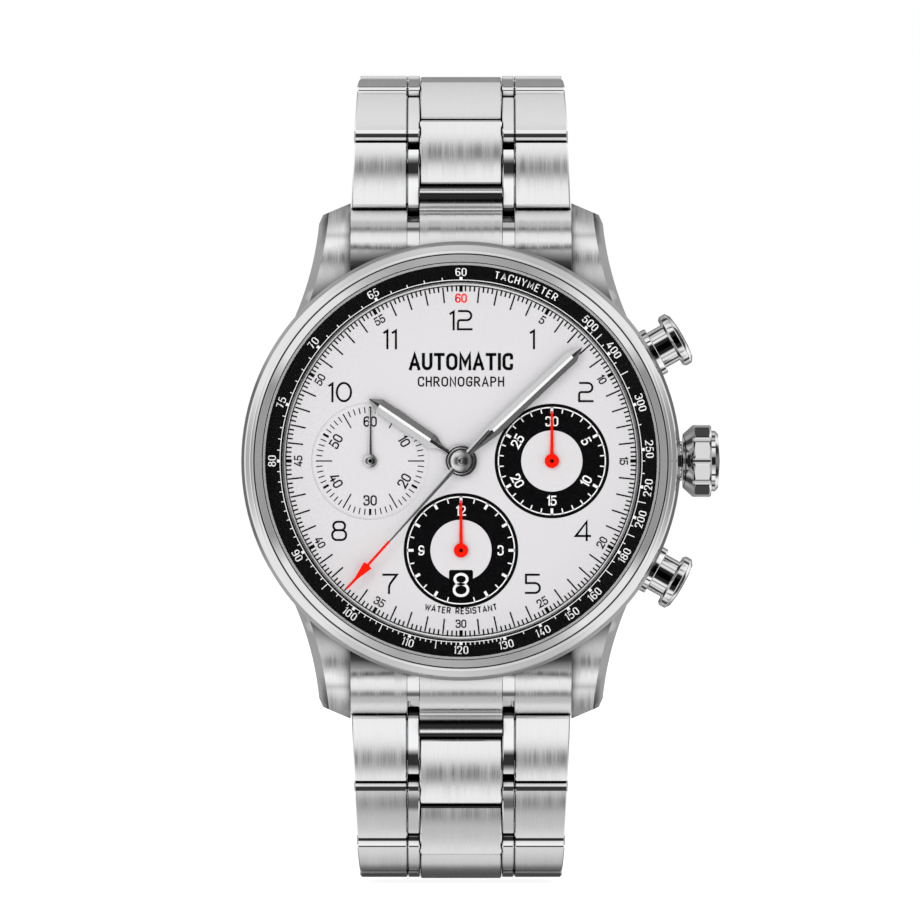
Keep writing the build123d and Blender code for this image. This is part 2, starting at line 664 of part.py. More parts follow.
def chain(start, turns, upward):
    """Pins and placements of a run of links that starts at the case."""
    y, z = start
    sign = 1 if upward else -1
    places = []
    pins = [start]
    for turn in turns:
        if upward:
            places.append(Pos(0, y, z) * Rot(90 - turn, 0, 0))
        else:
            places.append(Pos(0, y, z) * Rot(90 + turn, 0, 0) * Rot(0, 0, 180))
        y += PITCH * sin(radians(turn))
        z += sign * PITCH * cos(radians(turn))
        pins.append((y, z))
    return places, pins


def end_link(pin_y, pin_h):
    """End link in the head's plan frame, filling the gap between two lugs."""
    edge_y = pin_y - 0.9
    edge_h = pin_h + sqrt(SOCKET_R ** 2 - 0.9 ** 2)
    outline = Curve() + [
        Polyline((pin_y, edge_h - 0.3), (pin_y, 1.5), (18.0, 1.5), (18.0, 9.3), (19.2, 9.3)),
        ThreePointArc((19.2, 9.3), (23.1, 7.5), (edge_y, edge_h)),
        Line((edge_y, edge_h), (pin_y, edge_h - 0.3)),
    ]
    profile = make_face(outline)
    pin_disc = Pos(pin_y, pin_h) * Circle(HEAD_R)
    outer = profile - Pos(pin_y, pin_h) * Circle(SOCKET_R) - Pos(pin_y + 2, pin_h) * Rectangle(4, 8)
    tongue = profile + pin_disc
    strip = profile - Pos(pin_y, pin_h) * Rectangle(4.4, 12)
    inner_x = CENTRE_W / 2 + BAND_GAP + STRIP_W + BAND_GAP
    pieces = []
    for shape, x_low, x_high in (
        (outer, inner_x, LUG_INNER_X - 0.05),
        (strip, CENTRE_W / 2 + BAND_GAP, CENTRE_W / 2 + BAND_GAP + STRIP_W),
        (tongue, -CENTRE_W / 2, CENTRE_W / 2),
    ):
        piece = Pos(x_low, 0, 0) * extrude(Plane.YZ * shape, x_high - x_low)
        piece -= disc(CASE_R + 0.03, -1, 12)
        piece -= cross_bar(SPRING_BAR_R, SPRING_BAR_Y, SPRING_BAR_HEIGHT)
        pieces.append(piece - cross_bar(PIN_BORE, pin_y, pin_h))
    outer_piece, strip_piece, tongue_piece = pieces
    left_pieces = [mirror(outer_piece, Plane.YZ), mirror(strip_piece, Plane.YZ)]
    return [outer_piece, strip_piece, *left_pieces, tongue_piece]


def cross_bar(radius, y, height, half_length=14.0):
    """Bar along x at a place in the head's plan frame."""
    return Pos(0, y, height) * Rot(0, 90, 0) * Cylinder(radius, 2 * half_length)


def spring_bars():
    """Two sprung bars between the lugs, with thin tips."""
    bars = []
    for y in (SPRING_BAR_Y, -SPRING_BAR_Y):
        barrel_part = cross_bar(SPRING_BAR_R, y, SPRING_BAR_HEIGHT, LUG_INNER_X - 0.15)
        bars.append(barrel_part + cross_bar(SPRING_TIP_R, y, SPRING_BAR_HEIGHT, LUG_INNER_X + 1.0))
    return bars


# ---- clasp, drawn along the line from the upper to the lower free pin ----
def plate_between(x_half, run_low, run_high, low, high):
    """Flat blade centred across the bracelet."""
    middle = ((run_low + run_high) / 2, (low + high) / 2)
    return Pos(0, middle[0], middle[1]) * Box(2 * x_half, run_high - run_low, high - low)


def knuckle(run, level, radius, x_low, x_high):
    """Hinge barrel piece between two places across the bracelet."""
    return Pos((x_low + x_high) / 2, run, level) * Rot(0, 90, 0) * Cylinder(radius, x_high - x_low)


def clasp_outer_blade(length):
    """Blade next to the wrist, forked round the upper bracelet's end."""
    fold = length - FOLD_FROM_LOWER
    low_face, high_face = OUTER_BLADE_LEVEL
    blade = plate_between(OUTER_BLADE_HALF_W, 2.4, fold - 1.6, low_face, high_face)
    for side in (-1, 1):
        low, high = sorted((side * (CENTRE_W / 2 + 0.15), side * OUTER_BLADE_HALF_W))
        blade += knuckle(0, 0, 1.3, low, high)
        blade += Pos((low + high) / 2, 1.35, -1.2) * Box(high - low, 2.4, 2.4)
        blade -= knuckle(0, 0, PIN_R, low - 1, high + 1)
        low, high = sorted((side * 2.7, side * 6.0))
        blade += knuckle(fold, FOLD_DEPTH, FOLD_KNUCKLE_R, low, high)
        blade += Pos((low + high) / 2, fold - 1.1, (low_face + high_face) / 2) * Box(high - low, 1.6, 0.8)
    blade -= cross_pin(PIN_R, fold, 7, FOLD_DEPTH)
    slot = extrude(SlotOverall(fold - 11, 3.2), 2, both=True)
    blade -= Pos(0, (2.4 + fold) / 2, -2) * Rot(0, 0, 90) * slot
    end_pin = cross_pin(PIN_R, 0, 6.4)
    fold_pin = cross_pin(PIN_R, fold, 5.95, FOLD_DEPTH)
    return blade, end_pin, fold_pin


def clasp_inner_blade(length):
    """Middle blade between the fold hinge and the cover hinge."""
    fold = length - FOLD_FROM_LOWER
    low_face, high_face = INNER_BLADE_LEVEL
    blade = plate_between(INNER_BLADE_HALF_W, COVER_HINGE_AT + 0.5, fold - 1.6, low_face, high_face)
    blade += plate_between(2.5, fold - 1.8, fold, low_face, high_face - 0.1)
    blade += knuckle(fold, FOLD_DEPTH, FOLD_KNUCKLE_R, -2.55, 2.55)
    blade -= cross_pin(PIN_BORE, fold, 4, FOLD_DEPTH)
    blade += knuckle(COVER_HINGE_AT, COVER_HINGE_DEPTH, 0.85, -INNER_BLADE_HALF_W, INNER_BLADE_HALF_W)
    return blade - cross_pin(PIN_BORE, COVER_HINGE_AT, 7, COVER_HINGE_DEPTH)


def clasp_cover(length):
    """Outer cover: bowed plate, two side walls and a fork at its lower end."""
    end = length - 2.2
    shell = plate_between(COVER_HALF_W, 2.6, end, -1.2, 2.1)
    shell = chamfer(shell.edges().filter_by(Axis.Y).sort_by(Axis.Z)[-2:], 0.5)
    shell = chamfer(shell.edges().filter_by(Axis.X).group_by(Axis.Z)[-1], 0.4)
    shell -= plate_between(COVER_HALF_W - 1.0, 0, end - 1.2, -3, 0.9)
    shell -= plate_between(6.9, 0, length, -3, -0.1)
    for side in (-1, 1):
        low, high = sorted((side * (CENTRE_W / 2 + 0.15), side * (COVER_HALF_W - 0.3)))
        shell += knuckle(length, 0, HALF_THICK, low, high)
        shell += Pos((low + high) / 2, length - 1.6, 0.5) * Box(high - low, 3.2, 2.0)
        shell -= Pos(side * 8.4, BUTTON_RUN, BUTTON_LEVEL) * Box(2.6, 4.2, 1.3)
    shell -= cross_pin(PIN_BORE, length, 15)
    pin = cross_pin(PIN_R, COVER_HINGE_AT, COVER_HALF_W - 0.3, COVER_HINGE_DEPTH)
    return shell - pin, pin


def clasp_button(side):
    """Side push button of the clasp."""
    grip = Pos(side * 8.75, BUTTON_RUN, BUTTON_LEVEL) * Box(2.5, 4.1, 1.2)
    edges = grip.faces().sort_by(Axis.X)[-1 if side > 0 else 0].edges()
    return chamfer(edges, 0.25)


# ---- build every node ----
def build_head():
    head = {
        "case_middle": [case_middle()],
        "bezel": [bezel()],
        "crystal": [crystal()],
        "crystal_gasket": [ring(CRYSTAL_R, BEZEL_BORE, CRYSTAL_LOW, 13.45)],
        "tachymeter_ring": [tachymeter_ring()],
        "dial": [dial()],
        "movement_ring": [movement_ring()],
        "main_plate": [main_plate()],
        "bridges": bridges(),
        "jewels": jewels(),
        "movement_screws": movement_screws(),
        "hairspring": [hairspring()],
        "case_back": [case_back()],
        "case_back_window": [disc(WINDOW_R, 0, WINDOW_THICK)],
        "case_back_gasket": [ring(16.4, 17.3, BACK_THICK, 2.4)],
        "case_tubes": case_tubes(),
        "spring_bars": spring_bars(),
        "pusher_springs": [pusher_spring(PUSHER_ANGLE), pusher_spring(-PUSHER_ANGLE)],
        "end_link_12": end_link(UPPER_START[1], -UPPER_START[0]),
        "end_link_6": [mirror(piece, Plane.XZ) for piece in end_link(-LOWER_START[1], -LOWER_START[0])],
        "hour_hand": [hour_hand()],
        "minute_hand": [minute_hand()],
        "chrono_seconds_hand": [chrono_seconds_hand()],
        "running_seconds_hand": [counter_hand(FOURTH_AT, 5.3, 0.68, 11.52)],
        "minute_counter_hand": [counter_hand((SUBDIAL_OFFSET, 0), 5.0, 0.72, 9.1)],
        "hour_counter_hand": [counter_hand((0, -HOUR_COUNTER_OFFSET), 5.0, 0.72, 9.1)],
        "date_ring": [ring(DATE_RING_INNER, DATE_RING_OUTER, DATE_RING_LOW, DATE_RING_TOP)],
        "rotor": [rotor()],
        "balance_wheel": [balance_wheel()],
        "pallet_fork": [pallet_fork()],
        "escape_wheel": [escape_wheel()],
        "fourth_wheel": [fourth_wheel()],
        "third_wheel": [third_wheel()],
        "centre_wheel": [centre_wheel()],
        "barrel": [barrel()],
        "crown": [crown()],
        "stem": [stem()],
        "winding_pinion": [winding_pinion()],
        "pusher_upper": [pusher(PUSHER_ANGLE)],
        "pusher_lower": [pusher(-PUSHER_ANGLE)],
    }
    for node, shapes in head.items():
        save(node, *[DIAL * shape for shape in shapes])


def build_bracelet():
    for name, start, turns, upward in (
        ("link_12", UPPER_START, UPPER_TURNS, True),
        ("link_6", LOWER_START, LOWER_TURNS, False),
    ):
        places, pins = chain(start, turns, upward)
        for index, place in enumerate(places):
            half = WIDTH_AT_CASE / 2 - TAPER * index
            free_end = not upward and index == len(places) - 1
            save(f"{name}_{index + 1}", place * link(half, half - TAPER, not free_end))


def build_clasp():
    upper_end = chain(UPPER_START, UPPER_TURNS, True)[1][-1]
    lower_end = chain(LOWER_START, LOWER_TURNS, False)[1][-1]
    run_y = lower_end[0] - upper_end[0]
    run_z = lower_end[1] - upper_end[1]
    length = hypot(run_y, run_z)
    place = Pos(0, upper_end[0], upper_end[1]) * Rot(90 - degrees(atan2(run_y, run_z)), 0, 0)
    save("clasp_outer_blade", *[place * piece for piece in clasp_outer_blade(length)])
    save("clasp_inner_blade", place * clasp_inner_blade(length))
    save("clasp_cover", *[place * piece for piece in clasp_cover(length)])
    save("clasp_button_left", place * clasp_button(-1))
    save("clasp_button_right", place * clasp_button(1))


os.makedirs("parts", exist_ok=True)
build_head()
build_bracelet()
build_clasp()
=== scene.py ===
"""Looks of an automatic chronograph wristwatch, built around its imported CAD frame.

Frame: +X points to 3 o'clock, +Z to 12 o'clock and the dial faces -Y. Sizes are in millimetres. The head is
drawn in plan, x to 3 o'clock and y to 12, with the height above the case back as the third number, and DIAL
stands it up in the shared frame, in metres.
"""

import json
from math import asin, atan2, cos, degrees, hypot, pi, radians, sin, sqrt, tan

import bmesh
import bpy
from mathutils import Matrix, Vector

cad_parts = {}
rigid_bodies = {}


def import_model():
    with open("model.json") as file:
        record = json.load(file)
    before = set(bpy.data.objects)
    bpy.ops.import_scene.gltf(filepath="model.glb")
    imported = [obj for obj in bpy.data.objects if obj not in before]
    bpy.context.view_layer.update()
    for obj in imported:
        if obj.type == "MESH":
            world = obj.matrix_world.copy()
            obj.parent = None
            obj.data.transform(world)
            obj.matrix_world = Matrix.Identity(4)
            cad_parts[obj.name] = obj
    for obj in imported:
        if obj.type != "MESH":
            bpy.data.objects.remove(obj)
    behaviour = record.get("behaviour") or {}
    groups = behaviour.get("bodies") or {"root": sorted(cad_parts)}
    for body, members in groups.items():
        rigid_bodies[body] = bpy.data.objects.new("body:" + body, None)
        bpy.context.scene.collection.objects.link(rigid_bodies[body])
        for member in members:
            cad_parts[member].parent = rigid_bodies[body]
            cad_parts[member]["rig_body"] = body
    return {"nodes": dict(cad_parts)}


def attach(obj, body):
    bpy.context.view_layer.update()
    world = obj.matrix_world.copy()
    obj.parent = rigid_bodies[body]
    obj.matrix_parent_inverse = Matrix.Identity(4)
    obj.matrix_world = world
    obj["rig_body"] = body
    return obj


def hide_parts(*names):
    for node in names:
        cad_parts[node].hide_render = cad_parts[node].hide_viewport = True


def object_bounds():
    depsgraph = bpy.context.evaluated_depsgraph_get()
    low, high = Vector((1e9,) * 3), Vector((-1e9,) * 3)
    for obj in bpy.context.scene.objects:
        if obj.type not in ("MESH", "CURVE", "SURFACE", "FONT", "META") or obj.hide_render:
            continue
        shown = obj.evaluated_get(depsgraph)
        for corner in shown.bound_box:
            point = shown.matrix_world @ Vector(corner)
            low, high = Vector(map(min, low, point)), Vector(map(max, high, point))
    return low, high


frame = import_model()
cad_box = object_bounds()

MM = 0.001
DIAL = Matrix.Scale(MM, 4) @ Matrix.Rotation(radians(90), 4, "X")
ALONG_X = Matrix.Rotation(radians(90), 4, "Y")

# ---- sizes shared with the CAD parts ----
CROWN_HEIGHT = 6.6
PUSHER_ANGLE = 29.5
SECONDS_AT = (-9.1, 0)
MINUTES_AT = (9.1, 0)
HOURS_AT = (0, -8.95)
DIAL_TOP = 11.6
FLOOR_TOP = 11.45
DATE_CENTRE = 12.44
DATE_LOW = 10.98
DATE_TOP = 11.12
DATE_RADIUS = 12.42
DATE_RING = (10.4, 14.4)
HOUR_ANGLE = 304.0
MINUTE_ANGLE = 46.8
CHRONO_ANGLE = 221.8
HOUR_HAND_LOW = 11.95
MINUTE_HAND_LOW = 12.22
CHRONO_HAND_LOW = 12.5
COUNTER_HAND_LOW = 11.68
CASE_TOP = 10.4
BEZEL_R = 21.75
BEZEL_BORE = 19.8
BEZEL_TOP = 13.5
CRYSTAL_R = 19.6
CRYSTAL_LOW = 13.02
CRYSTAL_EDGE_TOP = 14.0
CRYSTAL_DOME = 0.6
FLANGE_FOOT = (18.02, 12.0)
PITCH = 7.5
HALF_THICK = 1.5
SOCKET_R = 1.80
PIN_R = 0.5
CENTRE_W = 8.3
STRIP_W = 1.2
STRIP_TAIL = 5.3
PLAIN_TAIL = 5.45
BAND_GAP = 0.05
WIDTH_AT_CASE = 22.0
TAPER = 0.23
UPPER_START = (-3.2, 26.2)
UPPER_TURNS = (26, 57, 82, 105, 128, 152)
LOWER_START = (-3.2, -26.35)
LOWER_TURNS = (25, 45, 68, 90, 112, 134, 156, 172, 180)

# ---- sizes of the finish ----
PAINT = 0.018
PAINT_SUNK = 0.012
COUNTER_PAINT = 0.008
CASE_R = 22.1
LINK_CROWN = 0.22
LINK_MIDDLE = 2.9
LINK_HALF_RUN = 3.65
LINK_BEVEL = 0.14
LIP_BEVEL = 0.14
LIP_GAP = 0.12
NOSE_START = -0.95
NOSE_END = (-0.8, -1.4)
STRIP_BEVEL = 0.1
PIN_BEVEL = 0.05
HUB_FILLET = 0.09
EDGE_ANGLE = 32.0
ROUND_STEPS = 192


# ---- materials ----
def plug(tree, target, **inputs):
    """Set inputs of a node: a value is set, a socket is linked. An index is written i0 or i1."""
    for name, value in inputs.items():
        key = int(name[1:]) if name[0] == "i" and name[1:].isdigit() else name.replace("_", " ")
        if isinstance(value, bpy.types.NodeSocket):
            tree.links.new(value, target.inputs[key])
        else:
            target.inputs[key].default_value = value


def node(tree, kind, **inputs):
    made = tree.nodes.new("ShaderNode" + kind)
    plug(tree, made, **inputs)
    return made


def ramp(tree, factor, *stops):
    """Colour ramp of grey or colour stops, as (place, value) pairs."""
    made = node(tree, "ValToRGB")
    elements = made.color_ramp.elements
    while len(elements) < len(stops):
        elements.new(1.0)
    for element, (place, value) in zip(elements, stops):
        element.position = place
        element.color = (*value, 1) if isinstance(value, tuple) else (value, value, value, 1)
    tree.links.new(factor, made.inputs["Fac"])
    return made.outputs["Color"]


def tinted(tree, factor, colour, low=0.3, high=0.7, dark=0.97):
    """Colour that is a little darker where a noise is low."""
    return ramp(tree, factor, (low, tuple(part * dark for part in colour)), (high, colour))


def share_between(tree, value, low, high):
    """Where a value lies from low (0) to high (1)."""
    return node(tree, "MapRange", Value=value, From_Min=low, From_Max=high).outputs[0]


def new_material(name, metallic=0.0):
    """Empty node material with a Principled shader: (material, tree, shader, object coordinates)."""
    material = bpy.data.materials.new(name)
    material.use_nodes = True
    tree = material.node_tree
    shader = tree.nodes["Principled BSDF"]
    plug(tree, shader, Metallic=metallic)
    coordinates = node(tree, "TexCoord").outputs["Object"]
    return material, tree, shader, coordinates


def scaled_noise(tree, coordinates, scale, detail=2.0, roughness=0.5):
    """Noise in object space, stretched by a different scale per axis. Scale is waves per metre."""
    mapping = node(tree, "Mapping", Vector=coordinates, Scale=scale)
    noise = node(tree, "TexNoise", Vector=mapping.outputs[0], Scale=1.0, Detail=detail,
                 Roughness=roughness)
    return noise.outputs["Fac"]


def bump(tree, shader, height, strength, distance):
    made = node(tree, "Bump", Height=height, Strength=strength, Distance=distance)
    plug(tree, shader, Normal=made.outputs[0])


def crevice(tree):
    """Painted shade: darker tone in narrow gaps and inner corners, 1 on open faces."""
    shade = node(tree, "AmbientOcclusion", Distance=2.2 * MM)
    shade.samples = 8
    return ramp(tree, shade.outputs["AO"], (0.1, 0.0), (0.5, 0.2), (0.92, 1.0))


def product(tree, first, second):
    """Colour product of two sockets."""
    made = node(tree, "Mix")
    made.data_type = "RGBA"
    made.blend_type = "MULTIPLY"
    plug(tree, made, Factor=1.0, A=first, B=second)
    return made.outputs["Result"]


def math(tree, operation, first, second):
    made = node(tree, "Math", i0=first, i1=second)
    made.operation = operation
    return made.outputs[0]


def vector_math(tree, operation, first, second, output="Vector"):
    made = node(tree, "VectorMath", i0=first, i1=second)
    made.operation = operation
    return made.outputs[output]


def metal(name, colour, low_rough, high_rough, gaps=True, painted_light_by_facing=None):
    """Metal with a slightly varied tone and roughness, and painted shade in gaps and corners unless gaps is
    False.
    Its last argument, (axis, low, high, stops), paints light, shade and reflection bands by how much of a
    face's direction lies along an axis of its piece, from low to high."""
    material, tree, shader, coordinates = new_material(name, 1.0)
    cloud = scaled_noise(tree, coordinates, (260,) * 3, 3.0)
    tint = tinted(tree, cloud, colour)
    # Painted shade in gaps and corners.
    if gaps:
        tint = product(tree, tint, crevice(tree))
    # Painted light, shade and reflection bands by the way a face is turned.
    if painted_light_by_facing:
        axis, low, high, stops = painted_light_by_facing
        facing = node(tree, "TexCoord").outputs["Normal"]
        part = node(tree, "SeparateXYZ", Vector=facing).outputs[axis]
        tint = product(tree, tint, ramp(tree, share_between(tree, part, low, high), *stops))
    rough = ramp(tree, cloud, (0.3, low_rough), (0.7, high_rough))
    plug(tree, shader, Base_Color=tint, Roughness=rough)
    return material


def brushed_metal(name, colour, low_rough, high_rough, waver, painted_light_by_height=()):
    """Metal brushed along the bracelet: fine lines across x, each leaning a little its own way, with
    painted shade in gaps and corners. Its last argument paints light, shade and reflections by the distance
    from the dial's middle along z."""
    material, tree, shader, coordinates = new_material(name, 1.0)
    fine = scaled_noise(tree, coordinates, (9000, 60, 60), 3.0, 0.7)
    wide = scaled_noise(tree, coordinates, (1500, 40, 40))
    mixed = math(tree, "MULTIPLY", math(tree, "ADD", fine, wide), 0.5)
    # Painted shade in gaps and corners is multiplied into the colour.
    tint = product(tree, tinted(tree, mixed, colour, high=0.65, dark=0.94), crevice(tree))
    # Painted light, shade and reflections by the height along z.
    if painted_light_by_height:
        low, high = painted_light_by_height[0][0], painted_light_by_height[-1][0]
        parts = node(tree, "SeparateXYZ", Vector=coordinates)
        share = share_between(tree, math(tree, "ABSOLUTE", parts.outputs["Z"], 0.0), low * MM, high * MM)
        stops = [((place - low) / (high - low), tone) for place, tone in painted_light_by_height]
        tint = product(tree, tint, ramp(tree, share, *stops))
    normal = node(tree, "NewGeometry").outputs["Normal"]
    along = vector_math(tree, "CROSS_PRODUCT", normal, (1, 0, 0))
    amount = math(tree, "MULTIPLY", math(tree, "SUBTRACT", mixed, 0.5), waver)
    leaning = vector_math(tree, "ADD", normal, vector_math(tree, "MULTIPLY", along, amount))
    across = node(tree, "CombineXYZ", X=1.0)
    plug(tree, shader, Base_Color=tint, Roughness=ramp(tree, mixed, (0.35, low_rough), (0.65, high_rough)),
         Anisotropic=0.8, Tangent=across.outputs[0],
         Normal=vector_math(tree, "NORMALIZE", leaning, (0, 0, 0)))
    return material


def turned_metal(name, colour, low_rough, high_rough, depth):
    """Metal turned with fine circular grooves round the watch's axis."""
    material, tree, shader, coordinates = new_material(name, 1.0)
    flat = vector_math(tree, "MULTIPLY", coordinates, (1, 0, 1))
    line = node(tree, "CombineXYZ", X=vector_math(tree, "LENGTH", flat, (0, 0, 0), "Value"))
    groove = node(tree, "TexNoise", Vector=line.outputs[0], Scale=9000.0, Detail=2.0).outputs["Fac"]
    plug(tree, shader, Base_Color=tinted(tree, groove, colour, dark=0.95),
         Roughness=ramp(tree, groove, (0.3, low_rough), (0.7, high_rough)))
    bump(tree, shader, groove, 1.0, depth)
    return material


def paint(name, colour, rough=0.45, grain=1.0, gloss=0.1):
    """Printed ink or lacquer with a faint grain."""
    material, tree, shader, coordinates = new_material(name)
    cloud = scaled_noise(tree, coordinates, (2500 * grain,) * 3)
    plug(tree, shader, Base_Color=tinted(tree, cloud, colour, 0.25, 0.75, 0.95), Specular_IOR_Level=gloss,
         Roughness=ramp(tree, cloud, (0.3, rough - 0.06), (0.7, rough + 0.06)))
    bump(tree, shader, cloud, 0.2, 0.003 * MM)
    return material


def clear(name, tint, alpha, rough=0.02, ior=1.6, rim=0.6):
    """Clear glass or gasket plastic: mostly see-through, more solid where seen at a grazing angle."""
    material, tree, shader, coordinates = new_material(name)
    cloud = scaled_noise(tree, coordinates, (300,) * 3, 1.0)
    grazing = node(tree, "LayerWeight", Blend=0.35)
    plug(tree, shader, Base_Color=tinted(tree, cloud, tint, dark=0.98), IOR=ior,
         Roughness=ramp(tree, cloud, (0.3, rough), (0.7, rough + 0.01)),
         Alpha=ramp(tree, grazing.outputs["Facing"], (0.0, alpha), (0.6, alpha), (1.0, rim)))
    return material


# Painted light on an end link by its height on the watch: painted shade next to the bezel, and a painted
# reflection round its outer pin, dark with one bright line.
END_PAINTED_LIGHT = (
    (18.9, 0.02), (20.0, 0.08), (20.8, 0.35), (21.7, 1.0), (25.8, 1.0), (26.2, 0.03), (27.0, 0.03),
    (27.1, 1.0), (27.4, 1.0), (27.5, 0.03), (29.0, 0.03),
)
# The same painted shade and painted reflections for the tops of the lugs: darker next to the bezel and at
# the tip, with one darker streak.
LUG_PAINTED_LIGHT = (
    (16.5, 0.2), (18.5, 0.6), (20.7, 1.0), (22.2, 1.0), (22.7, 0.7), (23.2, 1.0), (24.8, 0.95), (26.2, 0.4),
)
# Painted reflections: dark and bright bands by how much a face looks towards the dial's side.
PUSHER_PAINTED_REFLECTIONS = (
    (0.0, 0.5), (0.35, 0.9), (0.5, 1.0), (0.54, 0.05), (0.62, 0.05), (0.66, 1.0), (0.93, 1.0),
    (0.955, 0.02), (1.0, 0.02),
)
CROWN_PAINTED_REFLECTIONS = (
    (0.0, 0.5), (0.3, 0.9), (0.5, 0.9), (0.56, 0.06), (0.62, 0.06), (0.68, 1.0), (0.9, 1.0), (0.94, 0.9),
    (1.0, 0.3),
)
CASE_PAINTED_REFLECTIONS = ((0.0, 0.7), (0.2, 0.65), (0.4, 0.4), (0.6, 0.4), (0.8, 0.34), (0.93, 0.8), (1.0, 0.8))
# Painted light and shade on a hand's facets: lit where they lean to 9 o'clock, shaded where they lean to 3.
HAND_LEAN = 0.14
HAND_PAINTED_LIGHT = ("X", -HAND_LEAN, HAND_LEAN, ((0.0, 1.0), (0.5, 0.62), (1.0, 0.24)))


def mirror_metal(name, colour, bands):
    """Mirror metal with painted reflections: dark bands by how far a face turns away from the dial's side.
    """
    return metal(name, colour, 0.04, 0.04, gaps=False, painted_light_by_facing=("Y", 0.0, -1.0, bands))


STEEL = (0.86, 0.86, 0.87)
LIGHT_STEEL = (0.88, 0.88, 0.89)
BLACK = (0.003, 0.003, 0.0035)
BRUSHED = brushed_metal("brushed_steel", (0.9, 0.897, 0.905), 0.2, 0.32, 0.045)
# Lug tops: painted shade next to the bezel and a painted reflection streak.
CASE_BRUSHED = brushed_metal("brushed_steel_case", (0.94, 0.935, 0.945), 0.2, 0.34, 0.05, LUG_PAINTED_LIGHT)
# Polished case flanks with painted reflection bands.
CASE_POLISHED = mirror_metal("polished_steel_case", (0.86, 0.855, 0.865), CASE_PAINTED_REFLECTIONS)
# End links: painted shade next to the bezel and a painted reflection round the outer pin.
END_BRUSHED = brushed_metal("brushed_steel_end", STEEL, 0.18, 0.3, 0.06, END_PAINTED_LIGHT)
# Bezel steel is a darker, shaded copy of the steel, standing in for the bezel's darker reflections.
BEZEL_STEEL = metal("bezel_steel", (0.72, 0.715, 0.725), 0.03, 0.07, gaps=False)
# Crown and pushers with painted reflection bands.
CROWN_STEEL = mirror_metal("crown_steel", LIGHT_STEEL, CROWN_PAINTED_REFLECTIONS)
PUSHER_STEEL = mirror_metal("pusher_steel", LIGHT_STEEL, PUSHER_PAINTED_REFLECTIONS)
POLISHED = metal("polished_steel", LIGHT_STEEL, 0.02, 0.05)
TURNED = turned_metal("turned_steel", STEEL, 0.16, 0.26, 0.0015 * MM)
SATIN = metal("satin_steel", STEEL, 0.2, 0.3, gaps=False)
NICKEL = metal("nickel_plate", (0.74, 0.73, 0.70), 0.2, 0.32)
BRASS = metal("gilt_brass", (0.78, 0.58, 0.27), 0.22, 0.34)
SPRING = metal("spring_steel", (0.55, 0.56, 0.58), 0.2, 0.3)
BLUED = metal("blued_steel", (0.05, 0.11, 0.42), 0.15, 0.25)
# Hand steel with painted light and shade on its facets by the way they lean.
HAND_LIGHT = metal("hand_steel", (0.70, 0.70, 0.71), 0.12, 0.2, gaps=False, painted_light_by_facing=HAND_PAINTED_LIGHT)
DIAL_WHITE = paint("dial_silver", (0.70, 0.685, 0.70), 0.5, 2.0)
BLACK_INK = paint("ink_black", BLACK, 0.4, gloss=0.03)
BLACK_FLANGE = paint("flange_black", BLACK, 0.35, gloss=0.04)
WHITE_INK = paint("ink_white", (0.93, 0.93, 0.92), 0.5)
RED_INK = paint("ink_red", (0.98, 0.008, 0.0), 0.4, gloss=0.05)
LUME = paint("inlay_white", STEEL, 0.5)
RUBY = paint("ruby", (0.45, 0.01, 0.05), 0.15, gloss=0.5)
RUBBER = paint("gasket_black", (0.01, 0.01, 0.01), 0.6)
SAPPHIRE = clear("sapphire", (0.1, 0.1, 0.11), 0.003)
CLEAR_GASKET = clear("clear_gasket", (0.7, 0.7, 0.7), 0.5, 0.2, 1.45, 0.8)


# ---- flat outlines ----
def rounded(points, radius=0.0, closed=False, steps=6):
    """Round the corners of a flat path. A point may carry its own radius as a third number."""
    path = []
    count = len(points)
    for index, point in enumerate(points):
        corner = Vector(point[:2])
        own = point[2] if len(point) > 2 else radius
        if own <= 0 or not (closed or 0 < index < count - 1):
            path.append(corner)
            continue
        before = Vector(points[index - 1][:2]) - corner
        after = Vector(points[(index + 1) % count][:2]) - corner
        half = before.angle(after) / 2
        reach = min(own / tan(half), 0.4999 * before.length, 0.4999 * after.length)
        centre = corner + (before.normalized() + after.normalized()).normalized() * (reach / cos(half))
        first = corner + before.normalized() * reach - centre
        last = corner + after.normalized() * reach - centre
        sweep = pi - 2 * half
        for step in range(steps + 1):
            share = step / steps
            turned = first * sin((1 - share) * sweep) + last * sin(share * sweep)
            path.append(centre + turned / sin(sweep))
    return path


def polar(radius, angle):
    """Plan point at a clock angle in degrees: 0 at 12 o'clock, 90 at 3."""
    return Vector((radius * sin(radians(angle)), radius * cos(radians(angle))))


def circle(radius, at=(0, 0), steps=180):
    return [polar(radius, 360 * step / steps) + Vector(at) for step in range(steps)]


def turn_path(path, angle, shift=(0, 0)):
    """Turn a flat path clockwise by an angle, then move it."""
    c, s = cos(radians(angle)), sin(radians(angle))
    return [Vector((p.x * c + p.y * s + shift[0], p.y * c - p.x * s + shift[1])) for p in path]


# ---- lettering ----
def oval(x_low, y_low, x_high, y_high, radius):
    """Closed rounded rectangle, as a stroke."""
    corners = [(x_low, y_low), (x_high, y_low), (x_high, y_high), (x_low, y_high)]
    return rounded(corners, radius, closed=True), True


def ellipse(width, height, steps=40):
    """Closed ellipse standing on y = 0, as a stroke."""
    turns = [2 * pi * step / steps for step in range(steps)]
    return [Vector((width / 2 * (1 + cos(t)), height / 2 * (1 + sin(t)))) for t in turns], True


